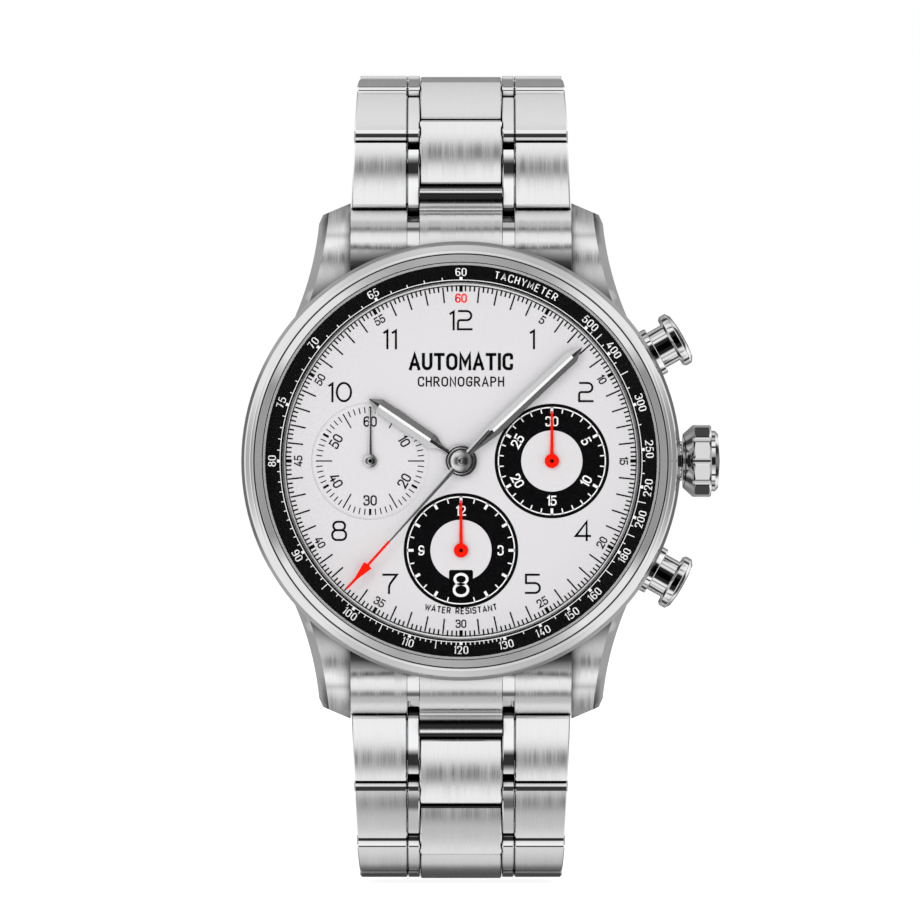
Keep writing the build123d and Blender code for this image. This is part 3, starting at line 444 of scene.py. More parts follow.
# Letters as a width and strokes on a cell one unit high. A stroke is a list of points, which may carry a
# corner radius, or a closed shape. Small lettering first, then the wide hour numerals.
BOWL = [(0, 0), (0, 1), (0.54, 1, 0.27), (0.54, 0.46, 0.27), (0, 0.46)]
SMALL = {
    "0": (0.54, oval(0, 0, 0.54, 1, 0.27)),
    "1": (0.16, [(0, 0.84), (0.16, 1), (0.16, 0)]),
    "2": (0.55, [(0, 0.74), (0, 1, 0.26), (0.54, 1, 0.27), (0.54, 0.6, 0.2), (0, 0), (0.56, 0)]),
    "3": (0.54, [(0, 0.8), (0, 1, 0.25), (0.52, 1, 0.25), (0.52, 0.54, 0.22), (0.2, 0.54)],
                [(0.2, 0.54), (0.54, 0.54, 0.25), (0.54, 0, 0.27), (0, 0, 0.27), (0, 0.2)]),
    "4": (0.58, [(0.36, 1), (0, 0.24), (0.58, 0.24)], [(0.43, 0.5), (0.43, 0)]),
    "5": (0.54, [(0.5, 1), (0.06, 1), (0.02, 0.52), (0.02, 0.6, 0.1), (0.54, 0.6, 0.27),
                 (0.54, 0, 0.27), (0, 0, 0.25), (0, 0.18)]),
    "6": (0.54, oval(0, 0, 0.54, 0.58, 0.27), [(0, 0.3), (0, 1, 0.27), (0.52, 1, 0.24), (0.52, 0.84)]),
    "7": (0.54, [(0, 1), (0.54, 1), (0.2, 0)]),
    "8": (0.54, oval(0.03, 0.54, 0.51, 1, 0.23), oval(0, 0, 0.54, 0.54, 0.26)),
    "9": (0.54, oval(0, 0.42, 0.54, 1, 0.27),
                [(0.54, 0.7), (0.54, 0, 0.27), (0.02, 0, 0.24), (0.02, 0.16)]),
    "A": (0.62, [(0, 0), (0.31, 1), (0.62, 0)], [(0.1, 0.3), (0.52, 0.3)]),
    "C": (0.56, [(0.56, 0.76), (0.56, 1, 0.28), (0, 1, 0.28), (0, 0, 0.28), (0.56, 0, 0.28), (0.56, 0.24)]),
    "E": (0.48, [(0.48, 1), (0, 1), (0, 0), (0.48, 0)], [(0, 0.52), (0.42, 0.52)]),
    "G": (0.56, [(0.56, 0.76), (0.56, 1, 0.28), (0, 1, 0.28), (0, 0, 0.28), (0.56, 0, 0.28),
                 (0.56, 0.46), (0.3, 0.46)]),
    "H": (0.54, [(0, 0), (0, 1)], [(0.54, 0), (0.54, 1)], [(0, 0.52), (0.54, 0.52)]),
    "I": (0.0, [(0, 0), (0, 1)]),
    "M": (0.68, [(0, 0), (0, 1), (0.34, 0.3), (0.68, 1), (0.68, 0)]),
    "N": (0.56, [(0, 0), (0, 1), (0.56, 0), (0.56, 1)]),
    "O": (0.62, oval(0, 0, 0.62, 1, 0.31)),
    "P": (0.54, BOWL),
    "R": (0.56, BOWL, [(0.26, 0.46), (0.56, 0)]),
    "S": (0.54, [(0.52, 0.8), (0.52, 1, 0.25), (0, 1, 0.25), (0, 0.53, 0.22), (0.54, 0.53, 0.24),
                 (0.54, 0, 0.27), (0, 0, 0.27), (0, 0.2)]),
    "T": (0.56, [(0, 1), (0.56, 1)], [(0.28, 1), (0.28, 0)]),
    "U": (0.56, [(0, 1), (0, 0, 0.28), (0.56, 0, 0.28), (0.56, 1)]),
    "W": (0.84, [(0, 1), (0.21, 0), (0.42, 0.8), (0.63, 0), (0.84, 1)]),
    "Y": (0.6, [(0, 1), (0.3, 0.45), (0.6, 1)], [(0.3, 0.45), (0.3, 0)]),
    " ": (0.3,),
}
WIDE = {
    "0": (0.78, ellipse(0.78, 1)),
    "1": (0.17, [(0, 0.86), (0.17, 0.97), (0.17, 0)]),
    "2": (0.74, [(0.06, 1), (0.73, 1, 0.28), (0.73, 0.5, 0.26), (0, 0.5, 0.13), (0, 0), (0.74, 0)]),
    "4": (0.78, [(0.78, 0.22), (0, 0.22), (0.6, 1), (0.6, 0)]),
    "5": (0.76, [(0.7, 1), (0, 1), (0, 0.54), (0.76, 0.54, 0.27), (0.76, 0, 0.27), (0, 0)]),
    "7": (0.74, [(0, 1), (0.74, 1), (0.31, 0.42, 0.6), (0.31, 0)]),
    "8": (0.76, oval(0.06, 0.54, 0.70, 1, 0.22), oval(0, 0, 0.76, 0.54, 0.25)),
}


def words(text, height, font=SMALL, gap=0.24, squeeze=1.0):
    """(path, closed) strokes of a line of lettering, centred on its own middle."""
    strokes = []
    pen = 0.0
    for letter in text:
        width, *parts = font[letter]
        for part in parts:
            path, closed = part if isinstance(part, tuple) else (rounded(part), False)
            strokes.append(([Vector(((pen + p.x) * squeeze, p.y)) for p in path], closed))
        pen += width + gap
    middle = Vector(((pen - gap) * squeeze / 2, 0.5))
    return [([(p - middle) * height for p in path], closed) for path, closed in strokes]


def with_ends(path, closed, width):
    """Open strokes reach half their width past both ends."""
    if closed:
        return path
    first = path[0] + (path[0] - path[1]).normalized() * width / 2
    last = path[-1] + (path[-1] - path[-2]).normalized() * width / 2
    return [first, *path[1:-1], last]


def lettered(text, height, width, shift=(0, 0), turn=0.0, **style):
    """(path, closed, width) strokes of a straight line of lettering."""
    return [(turn_path(with_ends(path, closed, width), turn, shift), closed, width)
            for path, closed in words(text, height, **style)]


def curved_words(text, height, width, radius, angle, gap, inward=False):
    """Lettering round the dial's middle. Inward letters stand on their head."""
    widths = [SMALL[letter][0] for letter in text]
    total = (sum(widths) + gap * (len(text) - 1)) * height
    strokes = []
    pen = 0.0
    for letter, letter_width in zip(text, widths):
        middle = (pen + letter_width / 2) * height - total / 2
        step = degrees(middle / radius)
        at = angle + (-step if inward else step)
        for path, closed in words(letter, height):
            turned = turn_path(path, at + (180 if inward else 0), polar(radius, at))
            strokes.append((turned, closed, width))
        pen += letter_width + gap
    return strokes


# ---- meshes ----
def ribbon(bm, path, width, surface, closed=False, thick=PAINT, sunk=PAINT_SUNK):
    """Flat raised strip along a plan path. The surface under it is a height or a function of the point."""
    rows = []
    count = len(path)
    for index, point in enumerate(path):
        before = point - path[index - 1] if index or closed else None
        after = path[(index + 1) % count] - point if index < count - 1 or closed else None
        into = (before or after).normalized()
        out = (after or before).normalized()
        along = into + out if (into + out).length > 1e-6 else into
        side = Vector((-along.y, along.x)).normalized()
        stretch = min(1 / max(side.dot(Vector((-out.y, out.x))), 0.3), 2.4)
        offset = side * width / 2 * stretch
        base = surface(point) if callable(surface) else surface
        low, high = base - sunk, base + thick
        left, right = point + offset, point - offset
        corners = ((left, high), (right, high), (right, low), (left, low))
        rows.append([bm.verts.new((p.x, p.y, h)) for p, h in corners])
    skin(bm, rows, closed)


def skin(bm, rows, closed=False):
    """Faces between rows of points, round each row, with the two ends filled unless the rows close.
    Returns the faces from row to row, one list for each step."""
    bands = []
    for a, b in list(zip(rows, rows[1:])) + ([(rows[-1], rows[0])] if closed else []):
        count = len(a)
        pairs = [(k, (k + 1) % count) for k in range(count)]
        bands.append([bm.faces.new((a[k], a[n], b[n], b[k])) for k, n in pairs])
    if not closed:
        bm.faces.new(rows[0][::-1])
        bm.faces.new(rows[-1])
    return bands


def spun(bm, profile, place=Matrix(), steps=ROUND_STEPS):
    """Solid turned about z from a closed outline of (radius, height). A radius of 0 closes at a pole."""
    rows = []
    for radius, height in profile:
        turns = [2 * pi * step / steps for step in range(steps)] if radius > 1e-6 else [0.0]
        ring = [place @ Vector((radius * cos(turn), radius * sin(turn), height)) for turn in turns]
        rows.append([bm.verts.new(point) for point in ring])
    for a, b in zip(rows, rows[1:] + rows[:1]):
        if len(a) == 1 and len(b) == 1:
            continue
        for k in range(steps):
            n = (k + 1) % steps
            if len(a) == 1:
                bm.faces.new((a[0], b[n], b[k]))
            elif len(b) == 1:
                bm.faces.new((a[k], a[n], b[0]))
            else:
                bm.faces.new((a[k], a[n], b[n], b[k]))


def plate(bm, outline, low, high):
    """Closed plate from a plan outline."""
    skin(bm, [[bm.verts.new((p.x, p.y, height)) for p in outline] for height in (low, high)])


def inset(outline, distance):
    """Closed outline moved inwards by a distance, with sharp corners limited."""
    area = sum(a.x * b.y - b.x * a.y for a, b in zip(outline, outline[1:] + outline[:1]))
    turn = 1 if area > 0 else -1
    moved = []
    for index, here in enumerate(outline):
        into = (here - outline[index - 1]).normalized()
        out = (outline[(index + 1) % len(outline)] - here).normalized()
        side = Vector((-(into + out).y, (into + out).x)).normalized() * turn
        reach = distance / max(side.dot(Vector((-out.y, out.x)) * turn), 0.4)
        moved.append(here + side * reach)
    return moved


def bar(bm, outline, low, high, bevel, sign=1):
    """Bar across x from an outline in (y, z), with bevelled flanks. High may be a function of y, for a
    slanted flank. A sign of -1 mirrors the bar. Returns the faces of the two bevels."""
    edge = high if callable(high) else lambda run: high
    inner = inset(outline, bevel)
    levels = [
        (inner, lambda run: low), (outline, lambda run: low + bevel),
        (outline, lambda run: edge(run) - bevel), (inner, edge),
    ]
    rows = [[bm.verts.new((sign * x_at(p.x), p.x, p.y)) for p in path] for path, x_at in levels]
    near, flat, far = skin(bm, rows)
    return near + far


def as_mesh(bm, name):
    mesh = bpy.data.meshes.new(name)
    bm.to_mesh(mesh)
    bm.free()
    return mesh


def add_object(name, data):
    made = bpy.data.objects.new(name, data)
    bpy.context.scene.collection.objects.link(made)
    return made


def finish_piece(name, bm, body, materials, place=DIAL, replaces=(), smooth=True):
    """Turn a mesh in the making into a piece of the watch that rides on a body."""
    bm.transform(place)
    bmesh.ops.recalc_face_normals(bm, faces=bm.faces)
    for face in bm.faces:
        face.smooth = smooth
    for edge in bm.edges:
        if len(edge.link_faces) == 2 and edge.calc_face_angle() > radians(EDGE_ANGLE):
            edge.smooth = False
    mesh = as_mesh(bm, name)
    for material in materials:
        mesh.materials.append(material)
    piece = add_object(name, mesh)
    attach(piece, body)
    if replaces:
        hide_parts(*replaces)
    return piece


def turned_piece(name, material, outline, replaces=(), body="head", corner_steps=5):
    """Piece turned from one closed outline of (radius, height), with rounded corners where they say so."""
    bm = bmesh.new()
    spun(bm, rounded(outline, closed=True, steps=corner_steps))
    finish_piece(name, bm, body, [material], replaces=replaces)


def cut(piece, tool_bm):
    """Subtract a closed solid, drawn in plan, from a piece."""
    tool_bm.transform(DIAL)
    bmesh.ops.recalc_face_normals(tool_bm, faces=tool_bm.faces)
    tool = add_object("tool", as_mesh(tool_bm, "tool"))
    modifier = piece.modifiers.new("cut", "BOOLEAN")
    modifier.object = tool
    modifier.operation = "DIFFERENCE"
    modifier.solver = "EXACT"
    bpy.context.view_layer.update()
    piece_cut = piece.evaluated_get(bpy.context.evaluated_depsgraph_get())
    cut_mesh = bpy.data.meshes.new_from_object(piece_cut)
    piece.modifiers.clear()
    piece.data = cut_mesh
    bpy.data.objects.remove(tool)


def refined(node_name, material, is_polished=None, shine=None):
    """Copy of a CAD node with welded points and smooth shading, which replaces the node. is_polished picks
    faces for the polished finish by their normal and their middle."""
    source = frame["nodes"][node_name]
    bm = bmesh.new()
    bm.from_mesh(source.data)
    bmesh.ops.remove_doubles(bm, verts=bm.verts, dist=0.002 * MM)
    bm.normal_update()
    if is_polished:
        for face in bm.faces:
            if is_polished(face.normal, face.calc_center_median() / MM):
                face.material_index = 1
    finish_piece(node_name + "_finished", bm, source["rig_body"], [material, shine or POLISHED],
                 Matrix(), [node_name])


# ---- printing on the dial ----
def flange_height(point):
    """Height of the tachymeter ring's slope at a plan point."""
    foot_r, foot = FLANGE_FOOT
    return foot + (hypot(point.x, point.y) - foot_r) * (CRYSTAL_LOW - foot) / (CRYSTAL_R - foot_r)


def printing(name, material, surface, strokes, body="head"):
    """One piece of print from (path, closed, width) strokes."""
    bm = bmesh.new()
    for path, closed, width in strokes:
        ribbon(bm, path, width, surface, closed)
    finish_piece(name, bm, body, [material], smooth=False)


def tick(angle, inner, outer, width, at=(0, 0)):
    return [polar(inner, angle) + Vector(at), polar(outer, angle) + Vector(at)], False, width


def numbered(texts, height, width, radius, at=(0, 0), upright=False):
    """Numerals spread evenly round a circle from 12 o'clock. They lean with the circle, turned over in its
    lower half, unless they are upright."""
    strokes = []
    for index, text in enumerate(texts):
        angle = 360 * index / len(texts)
        turn = angle if angle <= 90 or angle >= 270 else angle + 180
        strokes += lettered(text, height, width, polar(radius, angle) + Vector(at), 0 if upright else turn)
    return strokes


def print_minute_track():
    outer = 17.5
    number_r = 16.3
    strokes = [(circle(outer + 0.04), True, 0.1)]
    for quarter in range(240):
        angle = quarter * 1.5
        if quarter % 20 == 0:
            strokes.append(tick(angle, outer - 0.55, outer, 0.34))
        elif quarter % 4 == 0:
            strokes.append(tick(angle, outer - 1.6, outer - 0.05, 0.15))
        else:
            strokes.append(tick(angle, outer - 0.5, outer, 0.15))
    strokes += numbered(["", *map(str, range(5, 60, 5))], 0.72, 0.13, number_r)
    printing("minute_track", BLACK_INK, DIAL_TOP, strokes)
    printing("red_sixty", RED_INK, DIAL_TOP, lettered("60", 0.78, 0.15, (0, number_r)))


def print_hours():
    places = {
        "12": (0, 14.1), "1": (7.15, 12.2), "2": (12.5, 6.9), "4": (12.2, -7.0), "5": (7.2, -12.3),
        "7": (-7.1, -12.3), "8": (-12.2, -7.0), "10": (-12.1, 6.9), "11": (-7.1, 12.2),
    }
    gaps = {"11": 0.30, "10": 0.24, "12": 0.24}
    strokes = []
    for text, at in places.items():
        strokes += lettered(text, 1.82, 0.21, at, font=WIDE, gap=gaps.get(text, 0.2))
    printing("hour_numerals", BLACK_INK, DIAL_TOP, strokes)


def print_words():
    strokes = lettered("AUTOMATIC", 1.42, 0.31, (0, 9.95), gap=0.34, squeeze=0.95)
    strokes += lettered("CHRONOGRAPH", 0.86, 0.15, (0, 7.95), gap=0.36)
    strokes += curved_words("WATER RESISTANT", 0.56, 0.12, 15.02, 180, 0.36, inward=True)
    printing("dial_words", BLACK_INK, DIAL_TOP, strokes)


def print_seconds_counter():
    inner, outer = 4.8, 5.42
    strokes = []
    for second in range(60):
        start = 3.8 if second % 10 == 5 else inner
        width = 0.24 if second % 10 == 0 else 0.12 if second % 5 == 0 else 0.1
        strokes.append(tick(6 * second, start, outer, width, SECONDS_AT))
    strokes += numbered(("60", "10", "20", "30", "40", "50"), 0.9, 0.15, 3.95, SECONDS_AT)
    printing("seconds_scale", BLACK_INK, FLOOR_TOP, strokes)


def window_plate(low, high, grow=0.0):
    """Plate in the shape of the date window, larger by a margin all round."""
    half_x, half_y = 1.2 + grow, 1.53 + grow
    corners = [(half_x, half_y), (-half_x, half_y), (-half_x, -half_y), (half_x, -half_y)]
    bm = bmesh.new()
    outline = rounded(corners, 0.2 + grow, closed=True)
    plate(bm, [point + Vector((0, -DATE_CENTRE)) for point in outline], low, high)
    return bm


def print_counter(name, at, divisions, bold_every, labels, windowed=False):
    """Black counter with a white middle, a thin white circle, white ticks and numerals."""
    inner, outer = 3.07, 5.74
    low, top = FLOOR_TOP - 0.02, FLOOR_TOP + COUNTER_PAINT
    bm = bmesh.new()
    spun(bm, [(inner, low), (outer, low), (outer, top), (inner, top)], Matrix.Translation((*at, 0)))
    black = finish_piece(name + "_black_ring", bm, "head", [BLACK_INK])
    if windowed:
        cut(black, window_plate(DATE_LOW - 1, DIAL_TOP + 1))
    strokes = [(circle(5.36, at, 120), True, 0.12)]
    for index in range(divisions):
        angle = 360 * index / divisions
        bold = index % bold_every == 0
        if not (windowed and angle == 180):
            strokes.append(tick(angle, 4.75 if bold else 4.85, 5.4, 0.27 if bold else 0.12, at))
    strokes += numbered(labels, 0.86, 0.15, 3.97, at, upright=windowed)
    printing(name + "_scale", WHITE_INK, top, strokes)


def print_date():
    """Black lining of the date window and white figures on the date ring, the 8 in the window."""
    lining = finish_piece("date_window_lining", window_plate(DATE_TOP + 0.03, FLOOR_TOP + 0.012), "head",
                          [BLACK_FLANGE])
    cut(lining, window_plate(DATE_LOW - 1, DIAL_TOP + 1, -0.05))
    inner, outer = DATE_RING
    outline = [(inner, DATE_LOW), (outer, DATE_LOW), (outer, DATE_TOP), (inner, DATE_TOP)]
    turned_piece("date_ring_black", BLACK_FLANGE, outline, ["date_ring"], "date_ring")
    strokes = []
    for day in range(1, 32):
        turn = (day - 8) * 360 / 31
        squeeze = 1.2 if day < 10 else 0.72
        strokes += lettered(str(day), 2.15, 0.27, polar(DATE_RADIUS, 180 + turn), turn, gap=0.22,
                            squeeze=squeeze)
    printing("date_figures", WHITE_INK, DATE_TOP, strokes, "date_ring")


def print_tachymeter():
    """Scale of speeds, each at the seconds that one unit of distance takes at that speed."""
    outward = (60, 65, 70, 75, 80, 250, 300, 400, 500)
    inward = (90, 100, 110, 120, 130, 140, 150, 160, 180, 200, 220)
    long_ticks = (95, 105, 115, 170, 190, 210, 350, 450)
    foot, letter_r, height = 18.1, 18.93, 0.7
    speeds = [*range(60, 130), *range(130, 200, 5), *range(200, 250, 10), *range(250, 501, 25)]
    strokes = [(circle(foot + 0.03), True, 0.09)]
    for speed in speeds:
        angle = 360 * 60 / speed
        top = 18.95 if speed in long_ticks else 18.42
        strokes.append(tick(angle, foot, top, 0.3 if speed in outward + inward else 0.09))
        if speed in outward + inward:
            strokes += curved_words(str(speed), height, 0.125, letter_r, angle, 0.34, speed in inward)
    strokes += curved_words("TACHYMETER", height, 0.12, letter_r, 20.4, 0.42)
    printing("tachymeter_scale", WHITE_INK, flange_height, strokes)


# ---- hands ----
def on_dial(at=(0, 0), angle=0.0):
    return DIAL @ Matrix.Translation((*at, 0)) @ Matrix.Rotation(radians(-angle), 4, "Z")


def faceted_blade(bm, stations, low, edge, ridge, slit):
    """Blade that points at 12 with two facets up to a flat middle strip. Stations are (y, half width)."""
    rows = []
    for y, half in stations:
        mid = min(slit, half * 0.5)
        ring = ((half, low), (half, edge), (mid, ridge), (-mid, ridge), (-half, edge), (-half, low))
        rows.append([bm.verts.new((x, y, h)) for x, h in ring])
    skin(bm, rows)


def domed_hub(bm, radius, low, high, bore):
    """Turned boss of a hand with a domed top and a bore."""
    foot = low + 0.08
    dome = [(radius * cos(radians(turn)), foot + (high - foot) * sin(radians(turn)))
            for turn in range(0, 90, 9)]
    dome = [point for point in dome if point[0] > bore]
    spun(bm, [(bore, low), (radius, low), *dome, (bore, high)], steps=96)


def main_hand(name, angle, low, stations, inlay, hub_r, bore, tube_r, tube_low):
    """Hour or minute hand: faceted blade on a rounded hub, its tube, and a white inlay from y to y."""
    ridge = low + 0.17
    bm = bmesh.new()
    faceted_blade(bm, stations, low, low + 0.05, ridge, 0.16)
    boss = [(bore, low - 0.05), (hub_r, low - 0.05), (hub_r, ridge, HUB_FILLET),
            (bore, ridge, HUB_FILLET / 2)]
    spun(bm, rounded(boss, closed=True, steps=4), steps=96)
    spun(bm, [(bore, tube_low), (tube_r, tube_low), (tube_r, low - 0.02), (bore, low - 0.02)], steps=64)
    place = on_dial(angle=angle)
    finish_piece(name + "_finished", bm, name, [HAND_LIGHT], place, [name], False)
    bm = bmesh.new()
    start, end = inlay
    ribbon(bm, [Vector((0, y)) for y in (start, end - 0.2, end)], 0.3, ridge, thick=0.012, sunk=0.05)
    finish_piece(name + "_finished_inlay", bm, name, [LUME], place, smooth=False)


def make_main_hands():
    stations = ((1.3, 0.24), (2.3, 0.27), (2.6, 0.33), (3.3, 0.68), (3.7, 0.74), (9.9, 0.74), (11.1, 0.05))
    main_hand("hour_hand", HOUR_ANGLE, HOUR_HAND_LOW, stations, (3.7, 9.9), 1.6, 0.9, 1.15, 10.75)
    stations = ((1.1, 0.26), (1.8, 0.29), (4.3, 0.62), (4.9, 0.66), (15, 0.66), (15.3, 0.64), (16.6, 0.04))
    main_hand("minute_hand", MINUTE_ANGLE, MINUTE_HAND_LOW, stations, (4.4, 15.3), 1.35, 0.54, 0.85, 10.7)


def needle(bm, stations, low, high):
    """Thin needle with a slight ridge."""
    faceted_blade(bm, stations, low, (low + high) / 2, high, 0.03)


def make_chrono_hand():
    name = "chrono_seconds_hand"
    place = on_dial(angle=CHRONO_ANGLE)
    low, high = CHRONO_HAND_LOW, CHRONO_HAND_LOW + 0.12
    bm = bmesh.new()
    needle(bm, [(-4.2, 0.14), (-3.9, 0.2), (0, 0.30), (2.5, 0.24), (10.8, 0.11)], low, high)
    domed_hub(bm, 1.08, low - 0.04, low + 0.34, 0.28)
    staff = [(0, 4.8), (0.15, 4.8), (0.15, 5.25), (0.25, 5.25), (0.25, 12.86), (0.12, 12.86), (0, 12.80)]
    spun(bm, staff, steps=48)
    finish_piece(name + "_steel", bm, name, [HAND_LIGHT], place, [name])
    bm = bmesh.new()
    needle(bm, [(10.78, 0.13), (13.9, 0.13), (14.0, 0.5), (15.75, 0.15), (17.2, 0.08)], low, high + 0.004)
    finish_piece(name + "_red", bm, name, [RED_INK], place)


def make_counter_hand(name, body, at, length, hub_r, material, staff_low):
    """Needle hand of a counter with a domed hub, and its staff with a bevelled bright end."""
    place = on_dial(at)
    low = COUNTER_HAND_LOW
    bm = bmesh.new()
    needle(bm, [(0, 0.2), (length * 0.3, 0.17), (length, 0.1)], low, low + 0.1)
    domed_hub(bm, hub_r, low - 0.03, low + 0.2, 0.2)
    finish_piece(name + "_finished", bm, body, [material], place, [name])
    bm = bmesh.new()
    top = low + 0.2
    staff = [(0, staff_low), (0.2, staff_low), (0.2, top), (0.15, top + 0.08), (0.08, top), (0, top)]
    spun(bm, staff, steps=48)
    finish_piece(name + "_staff", bm, body, [POLISHED], place)


# ---- case parts that are turned ----
def make_bezel():
    outline = [
        (20.2, CASE_TOP), (BEZEL_R, CASE_TOP, 0.06), (BEZEL_R, 11.3), (21.7, 11.65), (21.55, 11.95),
        (21.2, 12.35), (21.08, 12.6, 0.1), (20.8, 12.78, 0.08), (20.62, 12.78, 0.05),
        (19.95, BEZEL_TOP, 0.05), (BEZEL_BORE, BEZEL_TOP, 0.03), (BEZEL_BORE, DIAL_TOP), (20.2, DIAL_TOP),
    ]
    turned_piece("bezel_finished", BEZEL_STEEL, outline, ["bezel"])


def make_crystal():
    edge = 0.25
    rim = CRYSTAL_R - edge
    top = CRYSTAL_EDGE_TOP + CRYSTAL_DOME
    radius = (rim ** 2 + CRYSTAL_DOME ** 2) / (2 * CRYSTAL_DOME)
    dome_radii = [rim * (1 - step / 24) for step in range(25)]
    dome = [(r, top - radius + sqrt(radius ** 2 - r ** 2)) for r in dome_radii]
    outline = [(0, CRYSTAL_LOW), (CRYSTAL_R, CRYSTAL_LOW), (CRYSTAL_R, CRYSTAL_EDGE_TOP - edge), *dome]
    turned_piece("crystal_finished", SAPPHIRE, outline, ["crystal"])


def make_tachymeter_ring():
    """Black sloping ring and the bright lip at its foot."""
    outer = BEZEL_BORE - 0.02
    foot_r, lip_r = 17.95, 17.94
    slope = [(foot_r, DIAL_TOP), (outer, DIAL_TOP), (outer, CRYSTAL_LOW), (CRYSTAL_R, CRYSTAL_LOW),
             FLANGE_FOOT, (foot_r, 11.98)]
    turned_piece("tachymeter_ring_black", BLACK_FLANGE, slope, ["tachymeter_ring"])
    lip = [(17.6, DIAL_TOP), (lip_r, DIAL_TOP), (lip_r, 11.93, 0.04), (17.6, 11.88, 0.05)]
    turned_piece("tachymeter_ring_lip", SATIN, lip, corner_steps=3)


def side_place(angle):
    """Places a turned part of the case's side: its axis lies in the plan, at an angle from 3 o'clock."""
    return Matrix.Rotation(radians(angle), 4, "Z") @ Matrix.Translation((0, 0, CROWN_HEIGHT)) @ ALONG_X


def make_pusher(name, angle):
    """Pusher cap with a domed polished end, its neck and its stem."""
    cap = [(0, 24.2), (2.55, 24.2, 0.05), (2.8, 24.45, 0.1), (2.8, 25.1, 0.12), (2.3, 25.45, 0.3),
           (1.2, 25.6, 1.0), (0, 25.65)]
    bm = bmesh.new()
    spun(bm, rounded(cap, steps=5), steps=96)
    spun(bm, [(0, 22.0), (2.0, 22.0), (2.0, 24.22), (0, 24.22)], steps=96)
    spun(bm, [(0, 16.6), (1.0, 16.6), (1.0, 22.02), (0, 22.02)], steps=64)
    place = DIAL @ side_place(angle)
    finish_piece(name + "_finished", bm, name, [PUSHER_STEEL], place, [name])


def make_tubes():
    """Crown collar and the two pusher tubes, with rounded lips."""
    collar = [(0.8, 17.0), (1.5, 17.0), (1.5, 21.3), (3.07, 21.3), (3.07, 21.85, 0.12), (2.0, 21.85),
              (2.0, 22.2, 0.08), (0.8, 22.2)]
    tube = [(1.06, 17.4), (2.49, 17.4), (2.49, 22.6, 0.12), (2.06, 22.6, 0.05), (2.06, 18.6), (1.06, 18.6)]
    bm = bmesh.new()
    for outline, angle in ((collar, 0), (tube, PUSHER_ANGLE), (tube, -PUSHER_ANGLE)):
        spun(bm, rounded(outline, closed=True, steps=4), side_place(angle), 96)
    finish_piece("case_tubes_finished", bm, "head", [PUSHER_STEEL], DIAL, ["case_tubes"])


# ---- bracelet ----
def crown_line(run):
    """Height of a link's outer face: highest in the middle, lower at both ends."""
    return HALF_THICK - LINK_CROWN * ((run - LINK_MIDDLE) / LINK_HALF_RUN) ** 2


def head_block(tail_run=None):
    """Side outline of a block with its round head at 0 and a bevel at its tail. Without a tail run its tail
    is hollow round the next pin. Returns the outline and the run where the tail's bevel starts."""
    end_height = HALF_THICK - LINK_CROWN
    lip = tail_run or PITCH - sqrt(SOCKET_R ** 2 - end_height ** 2) - LIP_GAP
    bevel_run = lip - LIP_BEVEL
    outline = [(lip, crown_line(lip) - LIP_BEVEL)]
    for step in range(17):
        run = bevel_run + (NOSE_START - bevel_run) * step / 16
        outline.append((run, crown_line(run)))
    nose_r = hypot(*outline[-1])
    start = atan2(outline[-1][1], outline[-1][0])
    end = atan2(NOSE_END[1], NOSE_END[0]) + 2 * pi
    turns = [start + (end - start) * step / 14 for step in range(1, 15)]
    outline += [(nose_r * cos(turn), nose_r * sin(turn)) for turn in turns]
    outline.append((-0.7, -HALF_THICK))
    if tail_run:
        outline.append((lip, -HALF_THICK))
    else:
        top = asin((end_height - LIP_BEVEL) / SOCKET_R)
        low = -asin(HALF_THICK / SOCKET_R)
        outline.append((PITCH - SOCKET_R * cos(low), -HALF_THICK))
        turns = [low + (top - low) * step / 10 for step in range(1, 10)]
        outline += [(PITCH - SOCKET_R * cos(turn), SOCKET_R * sin(turn)) for turn in turns]
    return [Vector(point) for point in outline], bevel_run


def is_end(run, height, bevel_run):
    """Whether a face of a block lies on its round head or on its tail's bevel."""
    return run < NOSE_START or run > bevel_run and height > HALF_THICK / 2 + 0.05


def link_piece(name, place, half_head, half_tail, socket):
    """One link: brushed outer blocks and centre, polished strips, round heads and bevels, and its pins."""
    strip_x = CENTRE_W / 2 + BAND_GAP
    outer_x = strip_x + STRIP_W + BAND_GAP
    outer, bevel_run = head_block(None if socket else PLAIN_TAIL)
    outline, centre_bevel = head_block()
    centre = [Vector((PITCH - point.x, point.y)) for point in outline]
    strip, _ = head_block(STRIP_TAIL)

    def flank(run):
        return half_head + (half_tail - half_head) * run / PITCH

    bm = bmesh.new()
    polished = []
    for sign in (1, -1):
        polished += bar(bm, outer, outer_x, flank, LINK_BEVEL, sign)
    for face in bm.faces:
        middle = face.calc_center_median()
        if is_end(middle.y, middle.z, bevel_run):
            polished.append(face)
    outer_faces = set(bm.faces)
    polished += bar(bm, centre, -CENTRE_W / 2, CENTRE_W / 2, LINK_BEVEL)
    for face in bm.faces:
        middle = face.calc_center_median()
        if face not in outer_faces and is_end(PITCH - middle.y, middle.z, centre_bevel):
            polished.append(face)
    brushed_faces = set(bm.faces)
    for sign in (1, -1):
        bar(bm, strip, strip_x, strip_x + STRIP_W, STRIP_BEVEL, sign)
    for run, half in ((0, half_head - 0.5), (PITCH / 2, half_tail - 0.5)):
        turns = [2 * pi * step / 20 for step in range(20)]
        pin = [Vector((run + PIN_R * cos(turn), PIN_R * sin(turn))) for turn in turns]
        bar(bm, pin, -half, half, PIN_BEVEL)
    polished += [face for face in bm.faces if face not in brushed_faces]
    for face in polished:
        face.material_index = 1
    finish_piece(name + "_finished", bm, name, [BRUSHED, POLISHED], place, [name])


